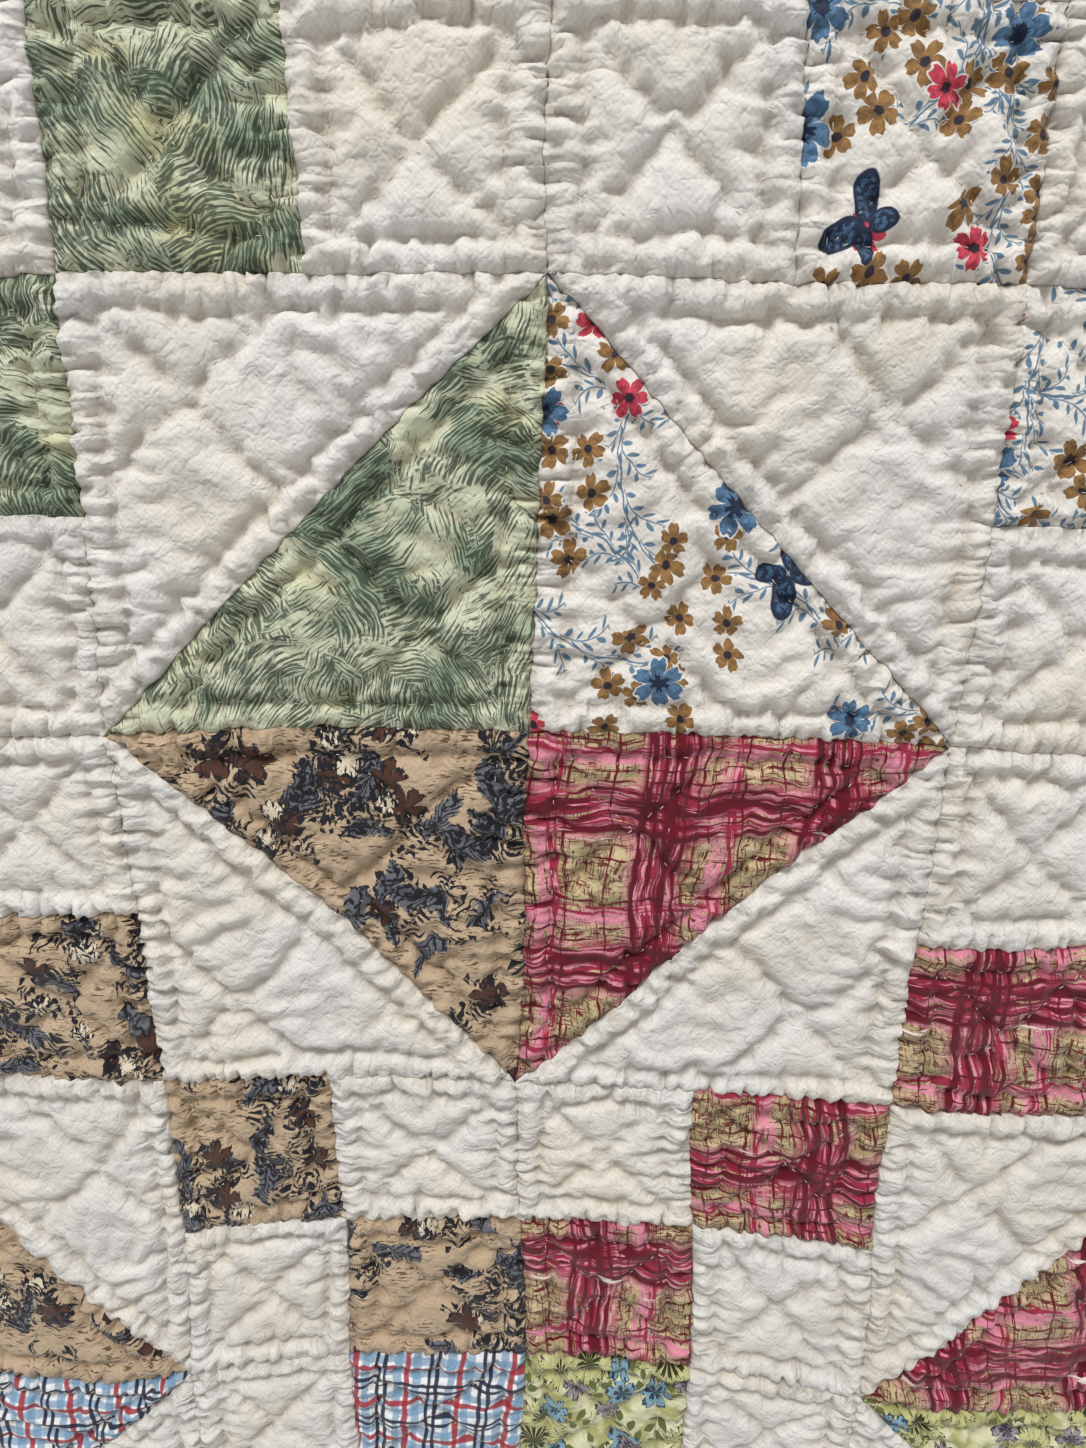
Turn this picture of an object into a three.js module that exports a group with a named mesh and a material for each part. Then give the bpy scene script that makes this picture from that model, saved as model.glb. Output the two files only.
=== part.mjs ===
// A patchwork quilt, 24 inches square, lying flat with its patchwork up.
//
// The top is pieced from units four inches square: pairs of half-square triangles and four-patches,
// alternating so that triangles meet in diamonds and small squares run in diagonal chains. Here the
// quilt is one filled solid. Its underside is flat, its edge is turned in and stitched, and the
// quilting is raised in the points of the upper face: a line of stitches runs a little inside every
// seam, and diagonal lines cross each square and triangle, with a puff between the lines.
//
// Millimetres, +Z up. The origin is at the middle of the underside, and +Y is the top of the pattern.

import * as THREE from 'three';

const UNIT = 101.6; // side of one unit of the patchwork
const UNITS = 6; // units along each side of the quilt
const OUTLINE = 7; // how far inside a seam the outline quilting runs
const CROWN = 6.2; // height of a puff
const TROUGH = 3.4; // height where stitches hold the layers together
const SEAM_DIP = 0.4; // how far a seam lies below the cloth beside it
const RISE = 12; // distance from a quilting line at which a puff reaches its crown
const EDGE = 1.8; // thickness at the turned edge
const DRAW = 1.5; // how far the quilting draws the edge in where a seam meets it
const SHOULDER = 16; // a mesh line between the outline quilting and a square's middle

const SQUARE = UNIT / 2; // side of one square of a four-patch
const SIDE = UNIT * UNITS;
const HALF = SIDE / 2;
const SQUARES = UNITS * 2; // squares along each side
const STEPS = [0, OUTLINE, SHOULDER, SQUARE / 2, SQUARE - SHOULDER, SQUARE - OUTLINE];
const LINES = SQUARES * STEPS.length; // mesh intervals along each side

/** The position of mesh line n, from the quilt's left or lower edge. */
function linePosition(n) {
  return Math.floor(n / STEPS.length) * SQUARE + STEPS[n % STEPS.length];
}

/** True if unit (column, row), counted from the middle, holds two triangles and not four squares. */
function holdsTriangles(column, row) {
  const [across, up] = [column, row].map((k) => Math.floor((k + 1) / 2));
  return (across + up) % 2 === 0;
}

/** How far a point (u, v) of a triangle unit is from its seams and from its inner quilting. */
function inTriangles(u, v) {
  const beyond = u + v > UNIT; // the other triangle mirrors the first across their seam
  const [a, b] = beyond ? [UNIT - v, UNIT - u] : [u, v];
  const seam = Math.min(a, b, (UNIT - a - b) / Math.SQRT2);
  const inner = Math.min(Math.abs(a - b), Math.abs(a + b - SQUARE)) / Math.SQRT2;
  return { seam, inner };
}

/** How far a point (u, v) of a four-patch unit is from its seams and from its inner quilting. */
function inSquares(u, v) {
  const [a, b] = [u % SQUARE, v % SQUARE];
  const seam = Math.min(a, b, SQUARE - a, SQUARE - b);
  const inner = Math.min(Math.abs(a - b), Math.abs(a + b - SQUARE)) / Math.SQRT2;
  return { seam, inner };
}

/** Height of the quilt's upper face at (x, y), measured from its middle. */
function topHeight(x, y) {
  const [column, row] = [x, y].map((c) => Math.floor(c / UNIT));
  const [u, v] = [x - column * UNIT, y - row * UNIT];
  let distances;
  if (holdsTriangles(column, row)) {
    // Measured from the right-angled corner that lies where four triangles meet.
    const fromRight = Math.abs(column % 2) === 1;
    const fromTop = Math.abs(row % 2) === 1;
    distances = inTriangles(fromRight ? UNIT - u : u, fromTop ? UNIT - v : v);
  } else {
    distances = inSquares(u, v);
  }
  const { seam, inner } = distances;
  const toOutline = Math.abs(seam - OUTLINE);
  const toStitches = seam > OUTLINE ? Math.min(toOutline, inner) : toOutline;
  const risen = 1 - (1 - Math.min(toStitches / RISE, 1)) ** 2;
  const dip = seam < 1e-6 ? SEAM_DIP : 0;
  return TROUGH + (CROWN - TROUGH) * risen - dip;
}

/** How far the edge is drawn in at a distance along it: most at a seam, and not at all between. */
function drawnIn(along) {
  return DRAW * Math.cos((Math.PI * along) / SQUARE) ** 2;
}

/** The point of the upper face where mesh lines i and j cross. */
function topPoint(i, j) {
  const [across, up] = [linePosition(i), linePosition(j)];
  const point = new THREE.Vector3(across - HALF, up - HALF, EDGE);
  if (i === 0) point.x += drawnIn(up);
  if (i === LINES) point.x -= drawnIn(up);
  if (j === 0) point.y += drawnIn(across);
  if (j === LINES) point.y -= drawnIn(across);
  const inside = i > 0 && j > 0 && i < LINES && j < LINES;
  if (inside) point.z = topHeight(point.x, point.y);
  return point;
}

/** The crossings (i, j) along the edge, anticlockwise seen from above. */
function edgeCrossings() {
  const side = Array.from({ length: LINES }, (_, n) => n);
  return [
    ...side.map((n) => [n, 0]),
    ...side.map((n) => [LINES, n]),
    ...side.map((n) => [LINES - n, LINES]),
    ...side.map((n) => [0, LINES - n]),
  ];
}

/** The quilt as one closed solid: puffed upper face, thin edge and flat underside. */
function quiltGeometry() {
  const vertices = [];
  const triangles = [];
  const add = (point) => vertices.push(point) - 1;
  const top = [];
  for (let i = 0; i <= LINES; i++) {
    top.push([]);
    for (let j = 0; j <= LINES; j++) top[i].push(add(topPoint(i, j)));
  }

  // Each quad of the upper face is split along the diagonal quilting that crosses its square.
  const middle = STEPS.length / 2;
  for (let i = 0; i < LINES; i++) {
    for (let j = 0; j < LINES; j++) {
      const [a, b, c, d] = [top[i][j], top[i + 1][j], top[i + 1][j + 1], top[i][j + 1]];
      const rising = (i % STEPS.length < middle) === (j % STEPS.length < middle);
      triangles.push(...(rising ? [a, b, c, a, c, d] : [a, b, d, b, c, d]));
    }
  }

  // The edge goes straight down to the underside, which is a fan about its middle.
  const rim = edgeCrossings().map(([i, j]) => top[i][j]);
  const foot = rim.map((k) => add(vertices[k].clone().setZ(0)));
  const centre = add(new THREE.Vector3());
  rim.forEach((upper, k) => {
    const next = (k + 1) % rim.length;
    triangles.push(upper, foot[k], foot[next], upper, foot[next], rim[next]);
    triangles.push(foot[next], foot[k], centre);
  });

  const geometry = new THREE.BufferGeometry().setFromPoints(vertices);
  geometry.setIndex(triangles);
  geometry.computeVertexNormals();
  return geometry;
}

const cotton = new THREE.MeshStandardMaterial({ color: '#dcd6cc', roughness: 0.95, metalness: 0 });
const quilt = new THREE.Mesh(quiltGeometry(), cotton);
quilt.name = 'quilt';

const model = new THREE.Group();
model.add(quilt);

export default model;
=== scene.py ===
"""A hand-quilted patchwork of printed cottons and muslin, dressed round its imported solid.

The quilt lies flat with its patchwork up. Its top is pieced from squares and triangles, each a
sheet of its own. A relaxation of the whole top, held down at every stitch and fuller than the
filling below it, gives the puffs and puckers, and the patches, thread and backing follow it.
"""

import logging
import math
from dataclasses import dataclass, field
from enum import Enum

import bpy
import numpy as np
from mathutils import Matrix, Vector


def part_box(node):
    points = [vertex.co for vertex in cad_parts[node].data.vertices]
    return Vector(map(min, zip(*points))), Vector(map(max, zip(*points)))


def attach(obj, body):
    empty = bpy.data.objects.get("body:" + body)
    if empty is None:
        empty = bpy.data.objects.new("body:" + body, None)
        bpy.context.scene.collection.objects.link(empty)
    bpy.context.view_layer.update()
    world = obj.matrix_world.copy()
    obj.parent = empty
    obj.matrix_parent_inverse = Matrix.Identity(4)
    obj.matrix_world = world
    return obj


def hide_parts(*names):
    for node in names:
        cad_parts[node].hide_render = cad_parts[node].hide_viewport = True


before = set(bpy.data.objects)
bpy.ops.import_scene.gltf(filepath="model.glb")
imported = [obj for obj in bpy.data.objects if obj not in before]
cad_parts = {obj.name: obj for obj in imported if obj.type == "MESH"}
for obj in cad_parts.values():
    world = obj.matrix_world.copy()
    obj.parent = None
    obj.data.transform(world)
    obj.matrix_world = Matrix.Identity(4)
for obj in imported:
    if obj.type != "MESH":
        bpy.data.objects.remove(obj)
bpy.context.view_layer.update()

NODE = "quilt"
LOG = logging.getLogger("quilt")
MM = 0.001  # the cloth is worked out in millimetres, and Blender's meshes are in metres


class Fabric(Enum):
    """The cottons that the patches are cut from. A value is the name used for pieces."""

    MUSLIN = "muslin"
    SAGE = "sage"
    SPRIG = "sprig"
    TAN = "tan"
    PLAID = "plaid"
    CHECK = "check"
    LIME = "lime"


# The print of each block of two by two units, from the top row of blocks down.
BLOCK_PRINTS = (
    (Fabric.SPRIG, Fabric.LIME, Fabric.CHECK, Fabric.SAGE),
    (Fabric.CHECK, Fabric.SAGE, Fabric.SPRIG, Fabric.TAN),
    (Fabric.LIME, Fabric.TAN, Fabric.PLAID, Fabric.CHECK),
    (Fabric.PLAID, Fabric.CHECK, Fabric.LIME, Fabric.SPRIG),
)


@dataclass(frozen=True)
class Measures:
    """The quilt's driving sizes, in millimetres.

    Attributes:
        unit: Side of one unit of the patchwork, a pair of triangles or a four-patch.
        units: Units along each side.
        square_cells: Mesh cells across one square of a four-patch.
        outline: How far inside a seam the outline quilting runs.
        crown: Height at which the filling holds up a puff.
        held: Height of the cloth under a stitch.
        edge: Height of the turned edge.
        draw: How far the quilting draws the edge in at a seam.
    """

    unit: float
    units: int = 6
    square_cells: int = 48
    outline: float = 7.0
    crown: float = 5.3
    held: float = 3.5
    edge: float = 1.5
    draw: float = 1.5

    @property
    def square(self) -> float:
        """Side of one square of a four-patch."""
        return self.unit / 2

    @property
    def side(self) -> float:
        """Side of the quilt."""
        return self.unit * self.units

    @property
    def cells(self) -> int:
        """Mesh cells along each side of the quilt."""
        return self.square_cells * 2 * self.units

    @property
    def cell(self) -> float:
        """Side of one mesh cell."""
        return self.square / self.square_cells


def measures_of_frame() -> Measures:
    """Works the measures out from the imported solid.

    Returns:
        Measures whose side is the solid's width.
    """
    low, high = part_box(NODE)
    return Measures(unit=(high.x - low.x) / MM / Measures.units)


@dataclass(frozen=True)
class Patch:
    """One cut piece of the top.

    Attributes:
        name: The piece's name.
        fabric: The cotton it is cut from.
        corner: Its square corner, in millimetres from the quilt's middle.
        reach: The signed lengths of the two sides that leave that corner.
        triangle: True for a triangle, and False for a square.
    """

    name: str
    fabric: Fabric
    corner: tuple[float, float]
    reach: tuple[float, float]
    triangle: bool

    def outline(self) -> np.ndarray:
        """Returns the patch's corners in order from its square corner, in millimetres."""
        (x, y), (across, up) = self.corner, self.reach
        corners = [(x, y), (x + across, y), (x, y + up)]
        if not self.triangle:
            corners.insert(2, (x + across, y + up))
        return np.array(corners)

    def quilting(self, inset: float) -> list[tuple[np.ndarray, np.ndarray]]:
        """Lays out the lines that are quilted on this patch.

        Args:
            inset: How far inside the seams the outline runs, in millimetres.

        Returns:
            The two ends of each straight line of stitches.
        """
        corner, legs = np.array(self.corner), np.array(self.reach)
        signs = np.sign(legs)
        start = corner + signs * inset
        # The outline meets a triangle's sharp corners further in.
        far = inset * (1 + math.sqrt(2)) if self.triangle else inset
        a = np.array([corner[0] + legs[0] - signs[0] * far, start[1]])
        b = np.array([start[0], corner[1] + legs[1] - signs[1] * far])
        if self.triangle:
            middle = (a + b) / 2
            c = np.array([corner[0] + legs[0] / 2 - signs[0] * inset, start[1]])
            d = np.array([start[0], corner[1] + legs[1] / 2 - signs[1] * inset])
            return [(start, a), (a, b), (b, start), (start, middle), (c, d)]
        end = corner + legs - signs * inset
        return [(start, a), (a, end), (end, b), (b, start), (start, end), (a, b)]


@dataclass
class Patchwork:
    """The layout of the top: which patch goes where."""

    size: Measures
    patches: list[Patch] = field(default_factory=list)

    def lay_out(self) -> None:
        """Fills in the patches, unit by unit."""
        half = self.size.units // 2
        count = dict.fromkeys(Fabric, 0)
        for row in range(-half, half):
            for column in range(-half, half):
                for fabric, corner, reach, triangle in self.unit_patches(column, row):
                    count[fabric] += 1
                    shape = "triangle" if triangle else "square"
                    name = f"{fabric.value}_{shape}_{count[fabric]:02d}"
                    self.patches.append(Patch(name, fabric, corner, reach, triangle))

    def unit_patches(self, column: int, row: int) -> list[tuple]:
        """Lists the patches of one unit.

        Args:
            column: The unit's place from the middle, to the right.
            row: The unit's place from the middle, upwards.

        Returns:
            The fabric, square corner, reach and shape of each patch.
        """
        unit, square = self.size.unit, self.size.square
        fabric = BLOCK_PRINTS[1 - row // 2][column // 2 + 2]
        # Units meet four by four at points two units apart, in a diamond or in a chain of squares.
        meet = (2 * ((column + 1) // 2), 2 * ((row + 1) // 2))
        away = (2 * column + 1 - meet[0], 2 * row + 1 - meet[1])
        near = (meet[0] * unit, meet[1] * unit)
        far = (away[0] * unit, away[1] * unit)
        signs = (math.copysign(1, away[0] - meet[0]), math.copysign(1, away[1] - meet[1]))
        if (meet[0] + meet[1]) // 2 % 2 == 0:
            out = (signs[0] * unit, signs[1] * unit)
            back = (-out[0], -out[1])
            return [(fabric, near, out, True), (Fabric.MUSLIN, far, back, True)]
        found = []
        for across in (0, 1):
            for up in (0, 1):
                x = near[0] + signs[0] * square * across
                y = near[1] + signs[1] * square * up
                cloth = fabric if across == up else Fabric.MUSLIN
                reach = (signs[0] * square, signs[1] * square)
                found.append((cloth, (x, y), reach, False))
        return found


@dataclass
class HandQuilting:
    """The running stitches through all the layers.

    Attributes:
        pitch: Distance from stitch to stitch, in millimetres.
        length: Length of thread that shows in a stitch.
        table: A row for each stitch: x, y, its direction, its length and how far it is from level.
    """

    size: Measures
    pitch: float = 4.7
    length: float = 1.4
    seed: int = 7
    table: np.ndarray = field(default_factory=lambda: np.zeros((0, 6)))

    def sew(self, patches: list[Patch]) -> None:
        """Sews every line of every patch, as unevenly as a hand does.

        Args:
            patches: The patches of the top.
        """
        random = np.random.default_rng(self.seed)
        rows = [
            self.line(a, b, random)
            for patch in patches
            for a, b in patch.quilting(self.size.outline)
        ]
        self.table = np.concatenate(rows)

    def line(self, a: np.ndarray, b: np.ndarray, random: np.random.Generator) -> np.ndarray:
        """Sews one line.

        Args:
            a: Its start, in millimetres.
            b: Its end.
            random: The source of unevenness.

        Returns:
            A row for each stitch.
        """
        long = float(np.linalg.norm(b - a))
        along = (b - a) / long
        beside = np.array([-along[1], along[0]])
        count = max(2, round(long / (self.pitch * random.uniform(0.92, 1.1))))
        share = (np.arange(count) + 0.5 + random.normal(0, 0.1, count)) / count
        fade = np.sqrt(np.sin(np.pi * np.clip(share, 0.02, 0.98)))
        off = random.normal(0, 0.6) * np.sin(np.pi * share) + random.normal(0, 0.22, count)
        for wave in (5.0, 8.5, 12.0):
            turn = random.uniform(0, 2 * np.pi)
            off += random.normal(0, 0.5) * fade * np.sin(turn + share * long / wave)
        turned = random.normal(0, 0.12, count)[:, None]
        way = along * np.cos(turned) + beside * np.sin(turned)
        place = a + np.outer(share * long, along) + np.outer(off, beside)
        length = self.length * (1 + random.normal(0, 0.15, count))
        level = random.normal(0, 0.35, count)
        return np.column_stack([place, way, length, level])


def between(values: np.ndarray, cells: int) -> np.ndarray:
    """Resamples a square grid of values.

    Args:
        values: The values at the grid's crossings.
        cells: Cells along each side of the new grid.

    Returns:
        The values at the new grid's crossings.
    """
    at = np.linspace(0, values.shape[0] - 1, cells + 1)
    low = np.minimum(at.astype(int), values.shape[0] - 2)
    share = (at - low)[:, None]
    for _ in range(2):
        values = (values[low] * (1 - share) + values[low + 1] * share).T
    return values


def sampled(values: np.ndarray, across: np.ndarray, up: np.ndarray) -> np.ndarray:
    """Reads fields of values between the crossings of their grid.

    Args:
        values: The fields, as (k, n, n).
        across: The places to read, in cells from the grid's left side.
        up: The same from its lower side.

    Returns:
        The values of each field at each place.
    """
    last = values.shape[1] - 2
    i, j = (np.clip(np.floor(k).astype(int), 0, last) for k in (across, up))
    s, t = across - i, up - j
    near = values[:, i, j] * (1 - s) + values[:, i + 1, j] * s
    far = values[:, i, j + 1] * (1 - s) + values[:, i + 1, j + 1] * s
    return near * (1 - t) + far * t


@dataclass
class PuckeredTop:
    """The top as one cloth, held at the stitches and full between them.

    It is relaxed on ever finer grids. On each, neighbouring points are drawn to the distance that
    the cloth between them really has, the filling lifts them, bending evens them out, and the
    stitches hold them down.

    Attributes:
        fullness: How much longer the cloth is than its place, across and up.
        seam_fullness: How much longer still it is beside a seam.
        seam_reach: How far from the seam that fades, in millimetres.
        puff: Depth of the puffs of the filling.
        sway: How far the seams waver.
        sewn: How firmly a seam holds the cloth, from 0 to 1.
        sewn_drop: How far below the crown it holds it.
        steps: Cells of each grid, its bending stiffness and its number of steps.
        points: The relaxed points, as (3, n, n), in millimetres.
    """

    size: Measures
    quilting: HandQuilting
    fullness: tuple[float, float] = (0.034, 0.048)
    seam_fullness: float = 0.05
    seam_reach: float = 8.0
    puff: float = 0.52
    sway: float = 0.45
    sewn: float = 0.12
    sewn_drop: float = 1.0
    steps: tuple[tuple[int, float, int], ...] = (
        (144, 0.0003, 60),
        (288, 0.002, 400),
        (576, 0.005, 300),
    )
    seed: int = 11
    points: np.ndarray = field(default_factory=lambda: np.zeros((3, 0, 0), np.float32))

    def noise(self, random: np.random.Generator, wave: float, rise: float = 0) -> np.ndarray:
        """Makes smooth noise on the finest grid.

        Args:
            random: Its source.
            wave: The usual distance from crest to crest across, in millimetres.
            rise: The same upwards, if it isn't the same as across.

        Returns:
            Noise with a mean of 0 and a spread of 1.
        """
        count = self.size.cells + 1
        rise = rise or wave
        across = np.fft.fftfreq(count, self.size.cell)[:, None] * wave
        up = np.fft.rfftfreq(count, self.size.cell)[None, :] * rise
        band = np.exp(-((np.log(np.maximum(np.hypot(across, up), 1e-6)) / 0.5) ** 2))
        found = np.fft.irfft2(
            np.fft.rfft2(random.normal(0, 1, (count, count))) * band, s=(count, count)
        )
        return (found / found.std()).astype(np.float32)

    def seam_distance(self, x: np.ndarray, y: np.ndarray) -> np.ndarray:
        """Measures how far points are from the nearest seam.

        Args:
            x: Their places across, in millimetres from the middle.
            y: Their places upwards.

        Returns:
            The distances, in millimetres.
        """
        unit, square, half = self.size.unit, self.size.square, self.size.units // 2
        column = np.clip(np.floor(x / unit), -half, half - 1).astype(int)
        row = np.clip(np.floor(y / unit), -half, half - 1).astype(int)
        triangles = ((column + 1) // 2 + (row + 1) // 2) % 2 == 0
        u, v = x - column * unit, y - row * unit
        u, v = np.where(column % 2, unit - u, u), np.where(row % 2, unit - v, v)
        a, b = u % square, v % square
        in_square = np.minimum(np.minimum(a, b), np.minimum(square - a, square - b))
        beyond = u + v > unit
        a, b = np.where(beyond, unit - v, u), np.where(beyond, unit - u, v)
        in_triangle = np.minimum(np.minimum(a, b), (unit - a - b) / math.sqrt(2))
        return np.where(triangles, in_triangle, in_square).astype(np.float32)

    def stitched(self, cells: int) -> tuple[np.ndarray, np.ndarray]:
        """Finds where the stitches hold the cloth on a grid.

        Args:
            cells: Cells along each side of the grid.

        Returns:
            How firmly each point is held, from 0 to 1, and how far from level its stitch is.
        """
        held = np.zeros((cells + 1, cells + 1), np.float32)
        weight, level = held + 1e-6, held.copy()
        x, y, across, up, length, off = self.quilting.table.T
        for share in np.linspace(-0.5, 0.5, 5):
            at = [
                (start + way * length * share + self.size.side / 2) / self.size.side * cells
                for start, way in ((x, across), (y, up))
            ]
            low = [np.floor(a).astype(int) for a in at]
            part = [a - b for a, b in zip(at, low, strict=True)]
            for right in (0, 1):
                for above in (0, 1):
                    w = np.abs(1 - right - part[0]) * np.abs(1 - above - part[1])
                    spot = tuple(
                        np.clip(k + d, 0, cells) for k, d in zip(low, (right, above), strict=True)
                    )
                    np.maximum.at(held, spot, w.astype(np.float32))
                    np.add.at(weight, spot, w)
                    np.add.at(level, spot, w * off)
        return held, level / weight

    def relax(self) -> None:
        """Finds the shape of the top."""
        random = np.random.default_rng(self.seed)
        finest = self.size.cells
        broad, fine = self.noise(random, 16, 11), self.noise(random, 9, 6.5)
        full_x, full_y = self.noise(random, 60), self.noise(random, 60)
        sway_x, sway_y, swell = (self.noise(random, k) for k in (28, 28, 35))
        billow = 0.9 * np.abs(broad) + 0.45 * np.abs(fine)
        billow -= billow.mean()
        moved = None
        for cells, stiffness, count in self.steps:
            every = finest // cells
            lines = np.linspace(-0.5, 0.5, cells + 1, dtype=np.float32) * self.size.side
            flat = np.stack(np.meshgrid(lines, lines, indexing="ij"))
            swayed = self.sway * np.stack([sway_x[::every, ::every], sway_y[::every, ::every]])
            seam = self.seam_distance(*(flat + swayed))
            held, level = self.stitched(cells)
            sewn = self.sewn * np.exp(-((seam / max(1.0, self.size.side / cells)) ** 2))
            high = self.size.crown - self.sewn_drop
            floor = np.where(sewn > held, high, self.size.held + level)
            puff = self.puff * billow[::every, ::every] * (1 + 0.4 * swell[::every, ::every])
            lift = self.size.crown + puff - 0.6 * np.exp(-((seam / 1.3) ** 2))
            if moved is None:
                moved = np.stack([flat[0] * 0, flat[1] * 0, self.size.held + 0.8 + puff])
            else:
                moved = np.stack([between(m, cells) for m in moved])
                moved[2] += (0.1 * fine + 0.03 * broad)[::every, ::every]
            near = self.seam_fullness * np.exp(-((seam / self.seam_reach) ** 2))
            longer = [
                np.clip(k * (1 + 0.35 * n[::every, ::every]) + near, 0, 0.25)
                for k, n in zip(self.fullness, (full_x, full_y), strict=True)
            ]
            settle = Relaxation(
                flat=flat,
                cell=self.size.side / cells,
                longer=np.stack(longer).astype(np.float32),
                held=np.maximum(0.9 * held, sewn).astype(np.float32),
                floor=floor.astype(np.float32),
                lift=lift.astype(np.float32),
                stiffness=stiffness,
            )
            self.points = settle.run(moved, count)
            moved = self.points.copy()
            moved[:2] -= flat


@dataclass
class Relaxation:
    """One grid's share of the work of PuckeredTop.

    Attributes:
        flat: The points' places before the cloth is full, as (2, n, n).
        cell: Distance between neighbouring points.
        longer: How much longer than that the cloth is, across and up.
        held: How firmly a stitch or seam holds each point, from 0 to 1.
        floor: The height at which it holds the point.
        lift: The height to which the filling lifts the point.
        stiffness: How strongly bending is evened out.
        inertia: The share of a point's speed that is left after a step.
        batting: The share of the way to its lift that the filling moves a point in a step.
        shear: How much of a difference in length is taken up slantwise.
        lowest: The least height of the top, in millimetres.
        drift: The furthest that a point may stray sideways.
    """

    flat: np.ndarray
    cell: float
    longer: np.ndarray
    held: np.ndarray
    floor: np.ndarray
    lift: np.ndarray
    stiffness: float
    inertia: float = 0.92
    batting: float = 0.004
    shear: float = 0.3
    lowest: float = 2.5
    drift: float = 2.0

    def run(self, moved: np.ndarray, count: int) -> np.ndarray:
        """Settles the cloth.

        Args:
            moved: The points' starting offsets from their flat places, and their heights.
            count: The number of steps.

        Returns:
            The settled points.
        """
        points = moved.astype(np.float32)
        points[:2] += self.flat
        across, up = self.longer
        right = self.cell * (1 + 0.5 * (across[:-1] + across[1:]))
        above = self.cell * (1 + 0.5 * (up[:, :-1] + up[:, 1:]))
        cross = self.cell * np.hypot(1 + across[:-1, :-1], 1 + up[:-1, :-1])
        last = points.copy()
        for _ in range(count):
            speed = (points - last) * self.inertia
            last[...] = points
            points += speed
            rise = self.lift - points[2]
            points[2] += self.batting * np.where(rise > 0, rise, 0.35 * rise)
            for odd in (0, 1):
                self.draw(points[:, odd:-1:2], points[:, odd + 1 :: 2], right[odd::2], 1)
                self.draw(points[..., odd:-1:2], points[..., odd + 1 :: 2], above[:, odd::2], 1)
                for a, b in (
                    (points[:, :-1, :-1], points[:, 1:, 1:]),
                    (points[:, :-1, 1:], points[:, 1:, :-1]),
                ):
                    self.draw(a[:, odd::2], b[:, odd::2], cross[odd::2], self.shear)
            self.even_out(points)
            points[2] += self.held * (self.floor - points[2])
            points[:2] += 0.8 * self.held * (self.flat - points[:2])
            np.maximum(points[2], self.lowest, out=points[2])
            strayed = np.clip(points[:2] - self.flat, -self.drift, self.drift)
            points[:2] = self.flat + strayed
        return points

    @staticmethod
    def draw(a: np.ndarray, b: np.ndarray, rest: np.ndarray, share: float) -> None:
        """Draws pairs of points to the distance of the cloth between them.

        Args:
            a: One point of each pair.
            b: The other.
            rest: The cloth's length between them.
            share: How much of the difference is taken up at once.
        """
        rows, columns = rest.shape
        a, b = a[:, :rows, :columns], b[:, :rows, :columns]
        apart = b - a
        long = np.sqrt((apart * apart).sum(0))
        apart *= 0.5 * share * (1 - rest / long)
        a += apart
        b -= apart

    def even_out(self, points: np.ndarray) -> None:
        """Evens out sharp bends, and leaves broad ones.

        Args:
            points: The points, which are changed.
        """
        offset = points.copy()
        offset[:2] -= self.flat
        bend = np.zeros_like(offset)
        bend[:, 1:-1, 1:-1] = self.unevenness(offset)
        points[:, 1:-1, 1:-1] -= self.stiffness * self.unevenness(bend)

    @staticmethod
    def unevenness(values: np.ndarray) -> np.ndarray:
        """Returns how far each inner point is from the mean of its neighbours, times four."""
        sides = values[:, 2:, 1:-1] + values[:, :-2, 1:-1]
        ends = values[:, 1:-1, 2:] + values[:, 1:-1, :-2]
        return sides + ends - 4 * values[:, 1:-1, 1:-1]


@dataclass(frozen=True)
class Course:
    """How far the seams of one row wander from true, in millimetres across and up.

    Attributes:
        row: The row's place, in squares from the middle.
        left: The wander at two squares left of the middle.
        middle: The wander at the middle.
        right: The wander at two squares right of it.
    """

    row: int
    left: tuple[float, float]
    middle: tuple[float, float]
    right: tuple[float, float]


# The seams run as true as hand piecing does, and the lower rows bow upwards in their middle.
COURSES = (
    Course(row=6, left=(0.0, 0.0), middle=(0.0, 0.0), right=(0.0, 0.0)),
    Course(row=2, left=(-1.0, -1.5), middle=(1.5, 0.5), right=(1.0, -0.5)),
    Course(row=1, left=(-2.0, -0.5), middle=(0.5, 1.0), right=(0.5, 0.5)),
    Course(row=0, left=(-4.0, -1.5), middle=(0.0, 2.0), right=(0.0, 0.0)),
    Course(row=-1, left=(0.0, -0.5), middle=(-1.0, 2.0), right=(-1.0, -2.0)),
    Course(row=-2, left=(0.5, 0.0), middle=(-4.5, 2.5), right=(-1.0, -2.5)),
    Course(row=-3, left=(2.0, -4.0), middle=(-1.0, 5.5), right=(0.5, -3.0)),
    Course(row=-4, left=(-1.5, -7.5), middle=(0.0, 4.5), right=(5.0, -9.0)),
    Course(row=-6, left=(0.0, 0.0), middle=(0.0, 0.0), right=(0.0, 0.0)),
)


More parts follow.
